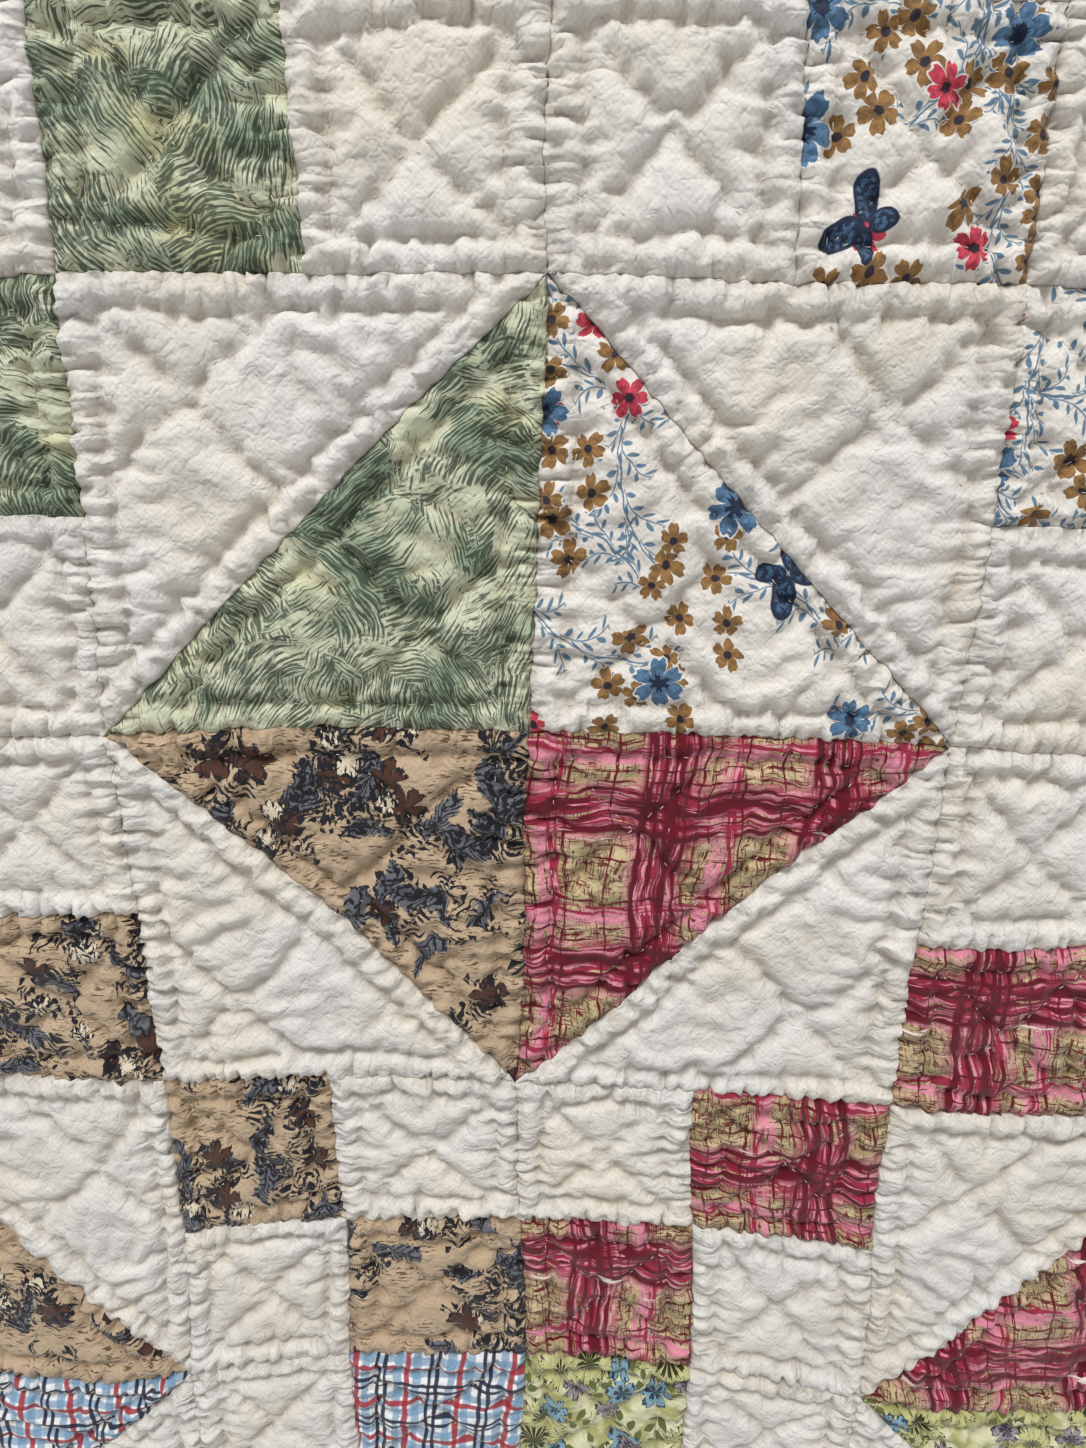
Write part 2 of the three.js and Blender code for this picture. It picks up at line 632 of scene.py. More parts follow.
@dataclass
class LaidCloth:
    """The relaxed top as it lies: wandering seams, and an edge turned in and drawn in.

    Attributes:
        shoulder: How far from the edge the top reaches its full height, in millimetres.
        steepness: How fast it climbs there: 1 is an even slope.
        wander: How far the seams stray at random beyond the courses.
        waver: Length and depth of the small waves in them.
        puckers: Distance from puff to puff, and depth of the creases between, of the small
            puckers that washing leaves.
        pucker_reach: How far from a seam they fade.
        pleated: Depth of the fine pleats that the seams gather.
        pleat_reach: How far from a seam those fade, and those too fine for the mesh.
        crisp: How much sharper washing has set the creases.
        rounded: The same for the crests between them.
        crest: The width over which a crease is told from a crest.
        shaded_crease: The width and depth of a crease deep enough to take the full painted shade.
        points: The top's points as they lie, in millimetres, how deep in a crease each is, and
            how far it is pleated across, upwards and slantwise, from 0 to 1, as (7, n, n).
    """

    size: Measures
    top: PuckeredTop
    shoulder: float = 9.0
    steepness: float = 2.4
    wander: float = 0.6
    waver: tuple[float, float] = (8.0, 0.2)
    puckers: tuple[tuple[float, float], ...] = ((12.0, 0.6), (6.0, 0.46))
    pucker_reach: float = 11.0
    pleated: float = 0.85
    pleat_reach: tuple[float, float] = (6.5, 10.0)
    crisp: float = 1.0
    rounded: float = -0.15
    crest: float = 2.1
    shaded_crease: tuple[float, float] = (2.6, 0.9)
    seed: int = 5
    points: np.ndarray = field(default_factory=lambda: np.zeros((7, 0, 0)))

    def lay(self) -> None:
        """Lays the relaxed top out."""
        x, y, z = self.top.points.astype(float)
        random = np.random.default_rng(self.seed)
        seam = self.top.seam_distance(x, y)
        near = np.exp(-((seam / self.pucker_reach) ** 2))
        for pitch, depth in self.puckers:
            patchy = 1 + 0.4 * self.top.noise(random, 40)
            z += depth * patchy * (0.45 + 0.55 * near) * self.puffs(pitch, random)
        gathered = self.gathered(seam)
        coarse, fine = (np.exp(-((seam / reach) ** 2)) for reach in self.pleat_reach)
        z += self.pleated * coarse * self.pleats(gathered, random)
        # Creases are narrow and the cloth between them is round.
        above = z - self.softened(z, self.crest)
        z += np.where(above > 0, self.rounded, self.crisp) * above
        # How deep each point lies in a crease, which sets the painted shade of its colour.
        crease = np.clip((self.softened(z, self.shaded_crease[0]) - z) / self.shaded_crease[1], 0, 1)
        strayed_x, strayed_y = self.stray(x, y)
        half = self.size.side / 2
        lines = np.linspace(-half, half, self.size.cells + 1)
        across, up = np.meshgrid(lines, lines, indexing="ij")
        x, y = x + strayed_x, y + strayed_y
        from_x, from_y = half - np.abs(across), half - np.abs(up)
        x -= np.sign(across) * self.drawn_in(up) * np.exp(-from_x / self.size.outline)
        y -= np.sign(up) * self.drawn_in(across) * np.exp(-from_y / self.size.outline)
        inside = np.clip(np.minimum(from_x, from_y) / self.shoulder, 0, 1)
        # The edge stands nearly upright, so the outermost rows climb fast and the rest level off.
        z = self.size.edge + (z - self.size.edge) * (1 - (1 - inside) ** self.steepness)
        pleated = gathered * fine * np.clip(inside + 0.2, 0, 1)
        self.points = np.stack([x, y, z, crease, *pleated])

    def gathered(self, seam: np.ndarray) -> np.ndarray:
        """Works out which way the nearest seam gathers the cloth.

        Args:
            seam: The distance of each point from it, in millimetres.

        Returns:
            For each point, the shares of the pleats that run across, upwards and slantwise.
        """
        slope = np.abs(np.stack(np.gradient(seam, self.size.cell)))
        slope /= np.hypot(*slope) + 1e-6
        across, up = np.clip((slope - 0.8) / 0.15, 0, 1)
        return np.stack([across, up, 1 - across - up])

    def pleats(self, gathered: np.ndarray, random: np.random.Generator) -> np.ndarray:
        """Makes round pleats that run away from the nearest seam.

        Args:
            gathered: The shares of the pleats that run across, upwards and slantwise.
            random: The source of their places.

        Returns:
            Their height for each point, near 0 on average.
        """
        waves = (self.top.noise(random, *size) for size in ((26, 8), (8, 26), (10,)))
        pairs = zip(gathered, waves, strict=True)
        return sum(share * (np.abs(wave) - 0.8) for share, wave in pairs)

    def puffs(self, pitch: float, random: np.random.Generator) -> np.ndarray:
        """Makes round puffs with narrow troughs between them.

        Args:
            pitch: The usual distance from puff to puff, in millimetres.
            random: The source of their places.

        Returns:
            Their height for each point, near 0 on average.
        """
        count = math.ceil(self.size.side / pitch) + 6
        strays = random.random((2, count, count))
        lines = np.arange(self.size.cells + 1) * self.size.cell / pitch + 2
        u, v = (
            k + 0.22 * self.top.noise(random, 1.6 * pitch)
            for k in np.meshgrid(lines, lines, indexing="ij")
        )
        i, j = (np.clip(np.floor(k).astype(int), 1, count - 2) for k in (u, v))
        near = np.full(u.shape, np.inf)
        for right in (-1, 0, 1):
            for above in (-1, 0, 1):
                a, b = i + right, j + above
                far = (a + strays[0][a, b] - u) ** 2 + (b + strays[1][a, b] - v) ** 2
                near = np.minimum(near, far)
        return 0.2 - near

    def softened(self, values: np.ndarray, radius: float) -> np.ndarray:
        """Blurs values over the cloth.

        Args:
            values: A value for each point.
            radius: How far the blur reaches, in millimetres.

        Returns:
            The blurred values.
        """
        across = np.fft.fftfreq(values.shape[0], self.size.cell)[:, None]
        up = np.fft.rfftfreq(values.shape[1], self.size.cell)[None, :]
        keep = np.exp(-2 * (math.pi * radius) ** 2 * (across**2 + up**2))
        return np.fft.irfft2(np.fft.rfft2(values) * keep, s=values.shape)

    def drawn_in(self, along: np.ndarray) -> np.ndarray:
        """Returns how far the edge is drawn in at places along it: most at the seams."""
        return self.size.draw * np.cos(np.pi * along / self.size.square) ** 2

    def stray(self, x: np.ndarray, y: np.ndarray) -> tuple[np.ndarray, np.ndarray]:
        """Works out how far the seams carry points from their places.

        Args:
            x: The points' places across, in millimetres from the middle.
            y: Their places upwards.

        Returns:
            The offsets across and up.
        """
        rows = np.array([course.row for course in COURSES[::-1]]) * self.size.square
        half = self.size.side / 2
        share = np.clip(x / (2 * self.size.square), -1.2, 1.2)
        # The wander dies away beyond the middle courses, so that the edge stays straight.
        beyond = np.clip((half - np.abs(x)) / (half - 2.4 * self.size.square), 0, 1)
        fade = beyond * beyond * (3 - 2 * beyond)
        edge = np.clip((half - np.maximum(np.abs(x), np.abs(y))) / self.size.unit, 0, 1)
        random = np.random.default_rng(self.seed)
        offsets = []
        for axis in (0, 1):
            left, middle, right = (
                np.interp(y, rows, [getattr(course, name)[axis] for course in COURSES[::-1]])
                for name in ("left", "middle", "right")
            )
            bowed = middle + 0.5 * share * (right - left) + share**2 * ((left + right) / 2 - middle)
            loose = self.top.noise(random, self.size.unit) * self.wander * edge
            loose += self.waver[1] * self.top.noise(random, self.waver[0])
            offsets.append(bowed * fade + loose)
        return offsets[0], offsets[1]

    def at(self, across: np.ndarray, up: np.ndarray) -> np.ndarray:
        """Returns a row, like those of points, for each place in cells from the lower left."""
        return sampled(self.points, across, up).T

    def grid(self, places: np.ndarray) -> np.ndarray:
        """Returns places in millimetres from the middle as places on the grid."""
        return (places + self.size.side / 2) / self.size.cell


def cloth_piece(
    name: str,
    points: np.ndarray,
    faces: list[list[int]],
    weave: np.ndarray,
    shaded_crease: np.ndarray | None = None,
) -> bpy.types.Object:
    """Makes a smooth mesh piece.

    Args:
        name: Its name.
        points: Its vertices, as (n, 3), in millimetres.
        faces: The vertex numbers of each face.
        weave: Where each vertex lies along the threads of its cloth, as (n, 2), in millimetres.
        shaded_crease: How deep in a crease each vertex is, which sets its painted shade, and how
            far it is pleated across, upwards and slantwise, from 0 to 1, as (n, 4). None is flat
            all over.

    Returns:
        The piece.
    """
    mesh = bpy.data.meshes.new(name)
    mesh.from_pydata(points * MM, [], faces)
    corners = np.zeros(len(mesh.loops), np.int32)
    mesh.loops.foreach_get("vertex_index", corners)
    layer = mesh.uv_layers.new(name="weave")
    layer.uv.foreach_set("vector", (weave[corners] * MM).astype(np.float32).ravel())
    shaded_crease = np.zeros((len(points), 4)) if shaded_crease is None else shaded_crease
    # The depth in a crease sets the painted shade in the finish.
    crease = mesh.attributes.new("crease", "FLOAT", "POINT")
    crease.data.foreach_set("value", shaded_crease[:, 0].astype(np.float32))
    pleated = mesh.attributes.new("pleated", "FLOAT_VECTOR", "POINT")
    pleated.data.foreach_set("vector", shaded_crease[:, 1:].astype(np.float32).ravel())
    mesh.shade_smooth()
    piece = bpy.data.objects.new(name, mesh)
    bpy.context.scene.collection.objects.link(piece)
    return piece


@dataclass
class PatchSewing:
    """Cuts the patches out of the laid cloth and sews them edge to edge.

    Attributes:
        beside: Distance from a seam to the first row of points, in millimetres.
        ditch: How far the cloth sinks into the seam.
        allowance: How much the turned allowance raises muslin beside its seams.
        allowance_width: The width of that allowance.
        tuck: How deep the turned edge goes down into the seam.
        lap: How far it reaches under the next patch.
        gap: Half the distance between the edges of two patches, in cells.
        turned_in: How far the quilt's own edge is turned in, in millimetres.
        turned_down: How far it goes down there.
        fullness: How much longer a patch would be cut than it is sewn. Not used.
    """

    size: Measures
    cloth: LaidCloth
    beside: float = 0.42
    ditch: float = 0.5
    allowance: float = 0.4
    allowance_width: float = 5.0
    tuck: float = 1.0
    lap: float = 0.15
    gap: float = 0.04
    turned_in: float = 1.4
    turned_down: float = 0.1
    fullness: float = 1.08
    seed: int = 21

    def sew(self, patches: list[Patch], finishes: dict[Fabric, bpy.types.Material]) -> int:
        """Makes a piece of every patch.

        Args:
            patches: The patches of the top.
            finishes: The finish of each cotton.

        Returns:
            The number of pieces.
        """
        random = np.random.default_rng(self.seed)
        for patch in patches:
            offset = random.uniform(-400, 400, 2)
            turn = random.normal(0, 0.03) + math.pi * random.integers(0, 2)
            piece = self.patch_piece(patch, offset, turn)
            piece.data.materials.append(finishes[patch.fabric])
            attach(piece, "root")
        return len(patches)

    def patch_piece(self, patch: Patch, offset: np.ndarray, turn: float) -> bpy.types.Object:
        """Makes one patch.

        Args:
            patch: The patch.
            offset: Where in its print it was cut, in millimetres.
            turn: How far it is turned against its print, in radians.

        Returns:
            The piece.
        """
        count = round(abs(patch.reach[0]) / self.size.cell)
        i, j = np.meshgrid(np.arange(count + 1), np.arange(count + 1), indexing="ij")
        kept = i + j <= count if patch.triangle else np.ones_like(i, bool)
        number = np.full(i.shape, -1)
        number[kept] = np.arange(kept.sum())
        signs = np.sign(patch.reach)
        start = self.cloth.grid(np.array(patch.corner))
        shift, depth = self.spread(i, j, count, patch.triangle)
        places = start + signs * (np.stack([i, j], -1) + shift)
        points = self.cloth.at(*places[kept].T)
        points[:, 2] += self.seam_height(patch, depth)[kept]
        ring = self.ring(count, patch.triangle)
        rim = np.array([number[a, b] for a, b in ring])
        outer = self.on_outer_edge(places[kept])
        level = np.maximum(points[:, 2], self.size.edge)
        points[:, 2] = np.where(outer, self.cloth.at(*places[kept].T)[:, 2], level)
        hem = self.hem(points[rim], outer[rim], patch)
        # A patch whose sides run opposite ways round would face down, so its faces are turned over.
        over = signs[0] * signs[1] > 0
        faces = self.cells_of(number, over)
        below = len(points) + np.arange(len(rim))
        for k, corner in enumerate(rim):
            following = (k + 1) % len(rim)
            face = [corner, below[k], below[following], rim[following]]
            faces.append(face if over else face[::-1])
        points = np.concatenate([points, hem])
        turned = np.array([[math.cos(turn), -math.sin(turn)], [math.sin(turn), math.cos(turn)]])
        on_print = (places[kept] * self.size.cell) @ turned.T + offset
        weave = np.concatenate([on_print, on_print[rim]])
        return cloth_piece(patch.name, points[:, :3], faces, weave, points[:, 3:])

    def spread(
        self, i: np.ndarray, j: np.ndarray, count: int, triangle: bool
    ) -> tuple[np.ndarray, np.ndarray]:
        """Crowds a patch's points towards its seams.

        Args:
            i: The points' places along its first side, in cells.
            j: The same along its second.
            count: Cells along each side.
            triangle: True for a triangle.

        Returns:
            How far each point moves, in cells, and how far it then is from a seam, in millimetres.
        """
        cell, gap = self.size.cell, self.gap
        near = 1 - self.beside / cell

        def pull(k: np.ndarray) -> np.ndarray:
            return np.where(k == 0, -gap, near * np.exp(-(k - 1) / 2))

        shift = np.stack([-pull(i), -pull(j)], -1)
        if triangle:
            third = count - i - j
            lean = np.where(third == 0, -gap, 0.22 * np.exp(-(third - 1) / 3))
            shift += lean[..., None] * (third[..., None] > 0)
            shift[third == 0] = -gap
            shift[i == 0, 0] = gap
            shift[j == 0, 1] = gap
            clear = (third - shift.sum(-1)) * cell / math.sqrt(2)
        else:
            shift += np.stack([pull(count - i), pull(count - j)], -1)
            for axis, k in enumerate((i, j)):
                inner = np.where(k == count, -gap, shift[..., axis])
                shift[..., axis] = np.where(k == 0, gap, inner)
            clear = (count - np.maximum(i + shift[..., 0], j + shift[..., 1])) * cell
        legs = np.minimum(i + shift[..., 0], j + shift[..., 1]) * cell
        return shift, np.minimum(legs, clear)

    def seam_height(self, patch: Patch, depth: np.ndarray) -> np.ndarray:
        """Works out how the seams raise and lower a patch.

        Args:
            patch: The patch.
            depth: How far each point is from a seam, in millimetres.

        Returns:
            How much higher each point is than the cloth as it was relaxed.
        """
        sunk = -self.ditch * np.exp(-((depth / self.beside) ** 2))
        if patch.fabric is not Fabric.MUSLIN:
            return sunk
        return sunk + self.allowance * np.exp(-((depth / self.allowance_width) ** 2))

    def on_outer_edge(self, places: np.ndarray) -> np.ndarray:
        """Returns which places on the grid lie on the quilt's own edge."""
        last = self.size.cells
        return ((places < 0.1) | (places > last - 0.1)).any(axis=-1)

    def hem(self, rim: np.ndarray, outer: np.ndarray, patch: Patch) -> np.ndarray:
        """Turns a patch's edge under.

        Args:
            rim: The points round the patch.
            outer: Which of them are on the quilt's own edge.
            patch: The patch.

        Returns:
            The points that they turn down to.
        """
        middle = patch.outline().mean(axis=0)
        away = rim[:, :2] - middle
        away /= np.linalg.norm(away, axis=1, keepdims=True)
        down = rim.copy()
        down[:, :2] += np.where(outer[:, None], -self.turned_in, self.lap) * away
        down[:, 2] -= np.where(outer, self.turned_down, self.tuck)
        return down

    @staticmethod
    def ring(count: int, triangle: bool) -> list[tuple[int, int]]:
        """Lists the places round a patch in order, in cells along its two sides."""
        side = range(count)
        if triangle:
            return (
                [(k, 0) for k in side]
                + [(count - k, k) for k in side]
                + [(0, count - k) for k in side]
            )
        return (
            [(k, 0) for k in side]
            + [(count, k) for k in side]
            + [(count - k, count) for k in side]
            + [(0, count - k) for k in side]
        )

    @staticmethod
    def cells_of(number: np.ndarray, over: bool) -> list[list[int]]:
        """Lists the faces of a grid of numbered points.

        Args:
            number: The number of the point at each crossing, or -1 where there is none.
            over: Whether the first side turns anticlockwise into the second.

        Returns:
            The faces, with three corners where a cell's fourth is missing.
        """
        cells = np.stack([number[:-1, :-1], number[1:, :-1], number[1:, 1:], number[:-1, 1:]], -1)
        cells = cells.reshape(-1, 4)
        cells = cells[(cells >= 0).sum(axis=1) >= 3]
        whole = cells[(cells >= 0).all(axis=1)]
        half = cells[cells[:, 2] < 0][:, [0, 1, 3]]
        half = half[(half >= 0).all(axis=1)]
        faces = whole.tolist() + half.tolist()
        return faces if over else [face[::-1] for face in faces]


@dataclass
class Backing:
    """The plain cotton underneath, drawn up a little by every stitch.

    Attributes:
        cells: Mesh cells along each side.
        drawn_up: How high a stitch draws it, in millimetres.
        edge: The height of its turned edge.
        curl: How far in from that edge it lies flat.
        spread: How much of the cloth round a stitch rises with it.
    """

    size: Measures
    cloth: LaidCloth
    cells: int = 192
    drawn_up: float = 0.8
    edge: float = 1.2
    curl: float = 7.0
    spread: float = 2.4
    points: np.ndarray = field(default_factory=lambda: np.zeros((3, 0, 0)))

    def shape(self) -> None:
        """Works out the points of the backing, as (3, n, n)."""
        held, _ = self.cloth.top.stitched(self.cells)
        padded = np.pad(held, 1, mode="edge")
        for _ in range(2):
            padded[1:-1] = (padded[:-2] + 2 * padded[1:-1] + padded[2:]) / 4
            padded[:, 1:-1] = (padded[:, :-2] + 2 * padded[:, 1:-1] + padded[:, 2:]) / 4
        lines = np.linspace(0, self.size.cells, self.cells + 1)
        across, up = np.meshgrid(lines, lines, indexing="ij")
        points = self.cloth.at(across.ravel(), up.ravel())[:, :3].T.reshape(3, *across.shape)
        drawn = np.clip(self.spread * padded[1:-1, 1:-1], 0, 1)
        inside = np.minimum(np.minimum(across, up), self.size.cells - np.maximum(across, up))
        curl = np.clip(1 - inside * self.size.cell / self.curl, 0, 1) ** 2
        points[2] = np.maximum(self.drawn_up * drawn, self.edge * curl)
        self.points = points

    def make(self, finish: bpy.types.Material) -> bpy.types.Object:
        """Makes the backing.

        Args:
            finish: Its finish.

        Returns:
            The piece.
        """
        self.shape()
        count = self.cells + 1
        number = np.arange(count * count).reshape(count, count)
        faces = PatchSewing.cells_of(number, over=False)
        points = self.points.reshape(3, -1).T
        piece = cloth_piece("backing", points, faces, points[:, :2])
        piece.data.materials.append(finish)
        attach(piece, "root")
        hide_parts(NODE)
        return piece

    def height_at(self, places: np.ndarray) -> np.ndarray:
        """Returns the height of the backing at places in millimetres from the middle."""
        at = (places + self.size.side / 2) / self.size.side * self.cells
        return sampled(self.points[2:], *at.T)[0]


@dataclass
class QuiltingThread:
    """The thread of the running stitches, above and below.

    Attributes:
        radius: Half the width of the thread as it lies, in millimetres.
        shares: Where a strand's ends and the ends of its level part are, in half lengths.
        lift: How far each of those is above the top.
        drop: How far each is above the backing.
    """

    size: Measures
    quilting: HandQuilting
    cloth: LaidCloth
    backing: Backing
    radius: float = 0.13
    shares: tuple[float, ...] = (-1, -0.6, 0.6, 1)
    lift: tuple[float, ...] = (-0.35, 0.05, 0.05, -0.35)
    drop: tuple[float, ...] = (0.3, -0.1, -0.1, 0.3)

    def make(self, finish: bpy.types.Material) -> list[bpy.types.Object]:
        """Makes the stitches that show on the top, and those that show underneath.

        Args:
            finish: The thread's finish.

        Returns:
            The two pieces.
        """
        x, y, across, up, length, _ = self.quilting.table.T
        place, way = np.stack([x, y], -1), np.stack([across, up], -1)
        half = way * (length / 2)[:, None]
        above = [self.on_top(place + half * share) for share in self.shares]
        for points, lift in zip(above, self.lift, strict=True):
            points[:, 2] += lift
        # Underneath, the thread runs from one stitch to the next.
        gap = place + way * self.quilting.pitch / 2
        below = [self.underneath(gap + half * share) for share in self.shares]
        for points, drop in zip(below, self.drop, strict=True):
            points[:, 2] = np.maximum(points[:, 2] + drop, self.radius + 0.05)
        return [
            self.strands("stitches_top", above, 4, finish),
            self.strands("stitches_under", below, 3, finish),
        ]

    def on_top(self, places: np.ndarray) -> np.ndarray:
        """Returns points of the top at places in millimetres from the middle."""
        return self.cloth.at(*self.cloth.grid(places).T)[:, :3]

    def underneath(self, places: np.ndarray) -> np.ndarray:
        """Returns points of the backing at places in millimetres from the middle."""
        points = self.on_top(places)
        points[:, 2] = self.backing.height_at(places)
        return points

    def strands(
        self, name: str, spine: list[np.ndarray], sides: int, finish: bpy.types.Material
    ) -> bpy.types.Object:
        """Makes one piece of many short strands.

        Args:
            name: The piece's name.
            spine: The first end, two middles and the last end of every strand.
            sides: Faces round a strand.
            finish: The thread's finish.

        Returns:
            The piece.
        """
        start, low, high, end = spine
        along = high - low
        beside = np.cross(along, (0, 0, 1))
        beside /= np.linalg.norm(beside, axis=1, keepdims=True)
        rings = []
        for middle in (low, high):
            for k in range(sides):
                angle = 2 * math.pi * (k + 0.5) / sides
                out = beside * math.cos(angle) + np.array((0, 0, 1)) * math.sin(angle)
                rings.append(middle + out * self.radius)
        points = np.stack([start, *rings, end], axis=1)
        last = 2 * sides + 1
        pattern = []
        for k in range(sides):
            a, b = 1 + k, 1 + (k + 1) % sides
            pattern += [(0, b, a), (a, b, a + sides), (b, b + sides, a + sides)]
            pattern.append((last, a + sides, b + sides))
        each = np.arange(len(start))[:, None, None] * (last + 1)
        faces = (each + np.array(pattern)).reshape(-1, 3).tolist()
        count = np.arange(points.shape[0] * points.shape[1])
        weave = np.stack([count, count], -1) * 0.1
        piece = cloth_piece(name, points.reshape(-1, 3), faces, weave)
        piece.data.materials.append(finish)
        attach(piece, "root")
        return piece


def linear(colour: str) -> tuple[float, float, float, float]:
    """Turns an sRGB hex colour to the linear values that a socket takes.

    Args:
        colour: Six hex digits after a hash.

    Returns:
        Red, green, blue and 1.
    """
    parts = [int(colour[k : k + 2], 16) / 255 for k in (1, 3, 5)]
    red, green, blue = (c / 12.92 if c <= 0.04045 else ((c + 0.055) / 1.055) ** 2.4 for c in parts)
    return (red, green, blue, 1.0)


Tree = bpy.types.NodeTree
Socket = bpy.types.NodeSocket
Value = Socket | float | str | tuple | None


# The prints are flat, and what is mixed in them is nearly always colour.
USUAL_SETTINGS = {
    "TexNoise": {"noise_dimensions": "2D"},
    "TexVoronoi": {"voronoi_dimensions": "2D"},
    "Mix": {"data_type": "RGBA"},
    "VectorRotate": {"rotation_type": "Z_AXIS"},
}


def add(tree: Tree, kind: str, *inputs: Value, out: int | str = 0, **settings: object) -> Socket:
    """Adds a node with its settings and links.

    Args:
        tree: The node tree.
        kind: The node's type, without its prefix, and its operation after a space if it has one.
        inputs: A socket, a value, a hex colour or None for each of its inputs in order.
        out: The output that is wanted.
        settings: The node's own settings, beyond the usual ones.

    Returns:
        That output.
    """
    kind, _, operation = kind.partition(" ")
    node = tree.nodes.new(f"ShaderNode{kind}")
    if operation:
        node.operation = operation
    for name, value in (USUAL_SETTINGS.get(kind, {}) | settings).items():
        setattr(node, name, value)
    sockets = [socket for socket in node.inputs if socket.enabled]
    for socket, value in zip(sockets, inputs, strict=False):
        if isinstance(value, bpy.types.NodeSocket):
            tree.links.new(value, socket)
        elif isinstance(value, str):
            socket.default_value = linear(value)
        elif value is not None:
            socket.default_value = value
    if isinstance(out, str):
        return node.outputs[out]
    return [socket for socket in node.outputs if socket.enabled][out]


def blotches(
    tree: Tree, place: Socket, across: float, up: float, low: float, high: float
) -> Socket:
    """Makes a soft-edged mask of blotches.

    Args:
        tree: The node tree.
        place: The place on the cloth, in millimetres.
        across: The usual width of a blotch, in millimetres.
        up: Its usual height.
        low: The noise at which it begins.
        high: The noise at which it is full.

    Returns:
        The mask, from 0 to 1.
    """
    scaled = add(tree, "VectorMath MULTIPLY", place, (1 / across, 1 / up, 1))
    noise = add(tree, "TexNoise", scaled, 1.0, 2.0, 0.55)
    return add(tree, "MapRange", noise, low, high, 0.0, 1.0, interpolation_type="SMOOTHSTEP")


def scatter(
    tree: Tree,
    place: Socket,
    pitch: float,
    spread: float,
    shift: float = 0.0,
    torn: Value = (0, 0, 0),
) -> tuple[Socket, list[Socket], Socket]:
    """Scatters places for a motif over the cloth.

    Args:
        tree: The node tree.
        place: The place on the cloth, in millimetres.
        pitch: The usual distance between motifs.
        spread: How far they stray from a grid, from 0 to 1.
        shift: How far the whole layer is moved.
        torn: How far the border between two motifs is moved at a point.

    Returns:
        The offset from the nearest motif's middle, three numbers from 0 to 1 of its own, and how
        thickly motifs grow round it, from 0 to 1.
    """
    moved = add(tree, "VectorMath ADD", place, (shift, 1.7 * shift, 0))
    sought = add(tree, "VectorMath ADD", moved, torn)
    grid = (1 / pitch, 0.0, 0.5, 2.0, spread)
    middle = add(tree, "TexVoronoi", sought, *grid, out="Position")
    offset = add(tree, "VectorMath SUBTRACT", moved, middle)
    red = add(tree, "SeparateColor", middle.node.outputs["Color"])
    thick = add(tree, "TexNoise", middle, 0.3 / pitch, 1.0, 0.5)
    thick = add(tree, "MapRange", thick, 0.35, 0.65, 0.0, 1.0)
    return offset, [red, red.node.outputs[1], red.node.outputs[2]], thick


def turned(tree: Tree, offset: Socket, share: Value, around: float = 2 * math.pi) -> Socket:
    """Turns a motif.

    Args:
        tree: The node tree.
        offset: The offset from its middle.
        share: How far it is turned, as a share of the whole range.
        around: That range, in radians.

    Returns:
        The turned offset.
    """
    angle = add(tree, "Math MULTIPLY", share, around)
    return add(tree, "VectorRotate", offset, (0, 0, 0), angle)


def grown(tree: Tree, depth: Socket, own: Socket, thick: Socket, share: float) -> Socket:
    """Leaves a motif out of some of its places, so that the rest gather in clusters.

    Args:
        tree: The node tree.
        depth: How far inside the motif a point is, in millimetres.
        own: A random number of the motif's own.
        thick: How thickly motifs grow round it, from 0 to 1.
        share: The usual share of places that hold one.

    Returns:
        The depth, or far less than 0 where there is no motif.
    """
    chance = add(tree, "Math MULTIPLY_ADD", thick, 1.2, share - 0.6)
    missing = add(tree, "Math GREATER_THAN", own, chance)
    return add(tree, "Math MULTIPLY_ADD", missing, -100.0, depth)


def blossom(tree: Tree, offset: Socket, own: list[Socket], petals: int, radius: float) -> Socket:
    """Draws a flower of round petals with notched tips.

    Args:
        tree: The node tree.
        offset: The offset from its middle, in millimetres.
        own: Its random numbers, of which the first turns it and the second sets its size.
        petals: Its number of petals.
        radius: Its usual radius.

    Returns:
        How far inside its outline a point is, in millimetres, and less than 0 outside.
    """
    x = add(tree, "SeparateXYZ", offset)
    angle = add(tree, "Math ARCTAN2", x.node.outputs[1], x)
    turn = add(tree, "Math MULTIPLY", own[0], 2 * math.pi)
    angle = add(tree, "Math MULTIPLY_ADD", angle, petals / 2, turn)
    wave = add(tree, "Math ABSOLUTE", add(tree, "Math COSINE", angle))
    notch = add(tree, "MapRange", wave, 0.92, 1.0, 0.0, 0.13)
    wave = add(tree, "Math POWER", wave, 0.5)
    reach = add(tree, "Math MULTIPLY_ADD", wave, 0.8, 0.22)
    reach = add(tree, "Math SUBTRACT", reach, notch)
    size = add(tree, "MapRange", own[1], 0.0, 1.0, 0.82 * radius, 1.15 * radius)
    reach = add(tree, "Math MULTIPLY", reach, size)
    far = add(tree, "VectorMath LENGTH", offset, out="Value")
    ragged = add(tree, "TexNoise", offset, 1.3, 1.0, 0.5)
    reach = add(tree, "Math MULTIPLY_ADD", ragged, 0.16 * radius, reach)
    return add(tree, "Math SUBTRACT", reach, far)


def side_shoots(tree: Tree, offset: Socket, pitch: float, lean: float) -> Socket:
    """Repeats what grows on a stem to each side of it in turn.

    Args:
        tree: The node tree.
        offset: The offset from the middle of the stem, which runs along X, in millimetres.
        pitch: Distance from shoot to shoot on one side.
        lean: The angle between a shoot and the stem, in radians.

    Returns:
        The offset from the foot of the nearest shoot, with the shoot along X.
    """
    x = add(tree, "SeparateXYZ", offset)
    y = x.node.outputs[1]
    aside = add(tree, "Math ABSOLUTE", y)
    under = add(tree, "Math LESS_THAN", y, 0.0)
    step = add(tree, "Math MULTIPLY", x, 1 / pitch)
    step = add(tree, "Math MULTIPLY_ADD", under, 0.5, step)
    along = add(tree, "Math FRACT", step)
    along = add(tree, "Math MULTIPLY_ADD", along, pitch, -0.3 * pitch)
    shoot = add(tree, "CombineXYZ", along, aside)
    return add(tree, "VectorRotate", shoot, (0, 0, 0), -lean)


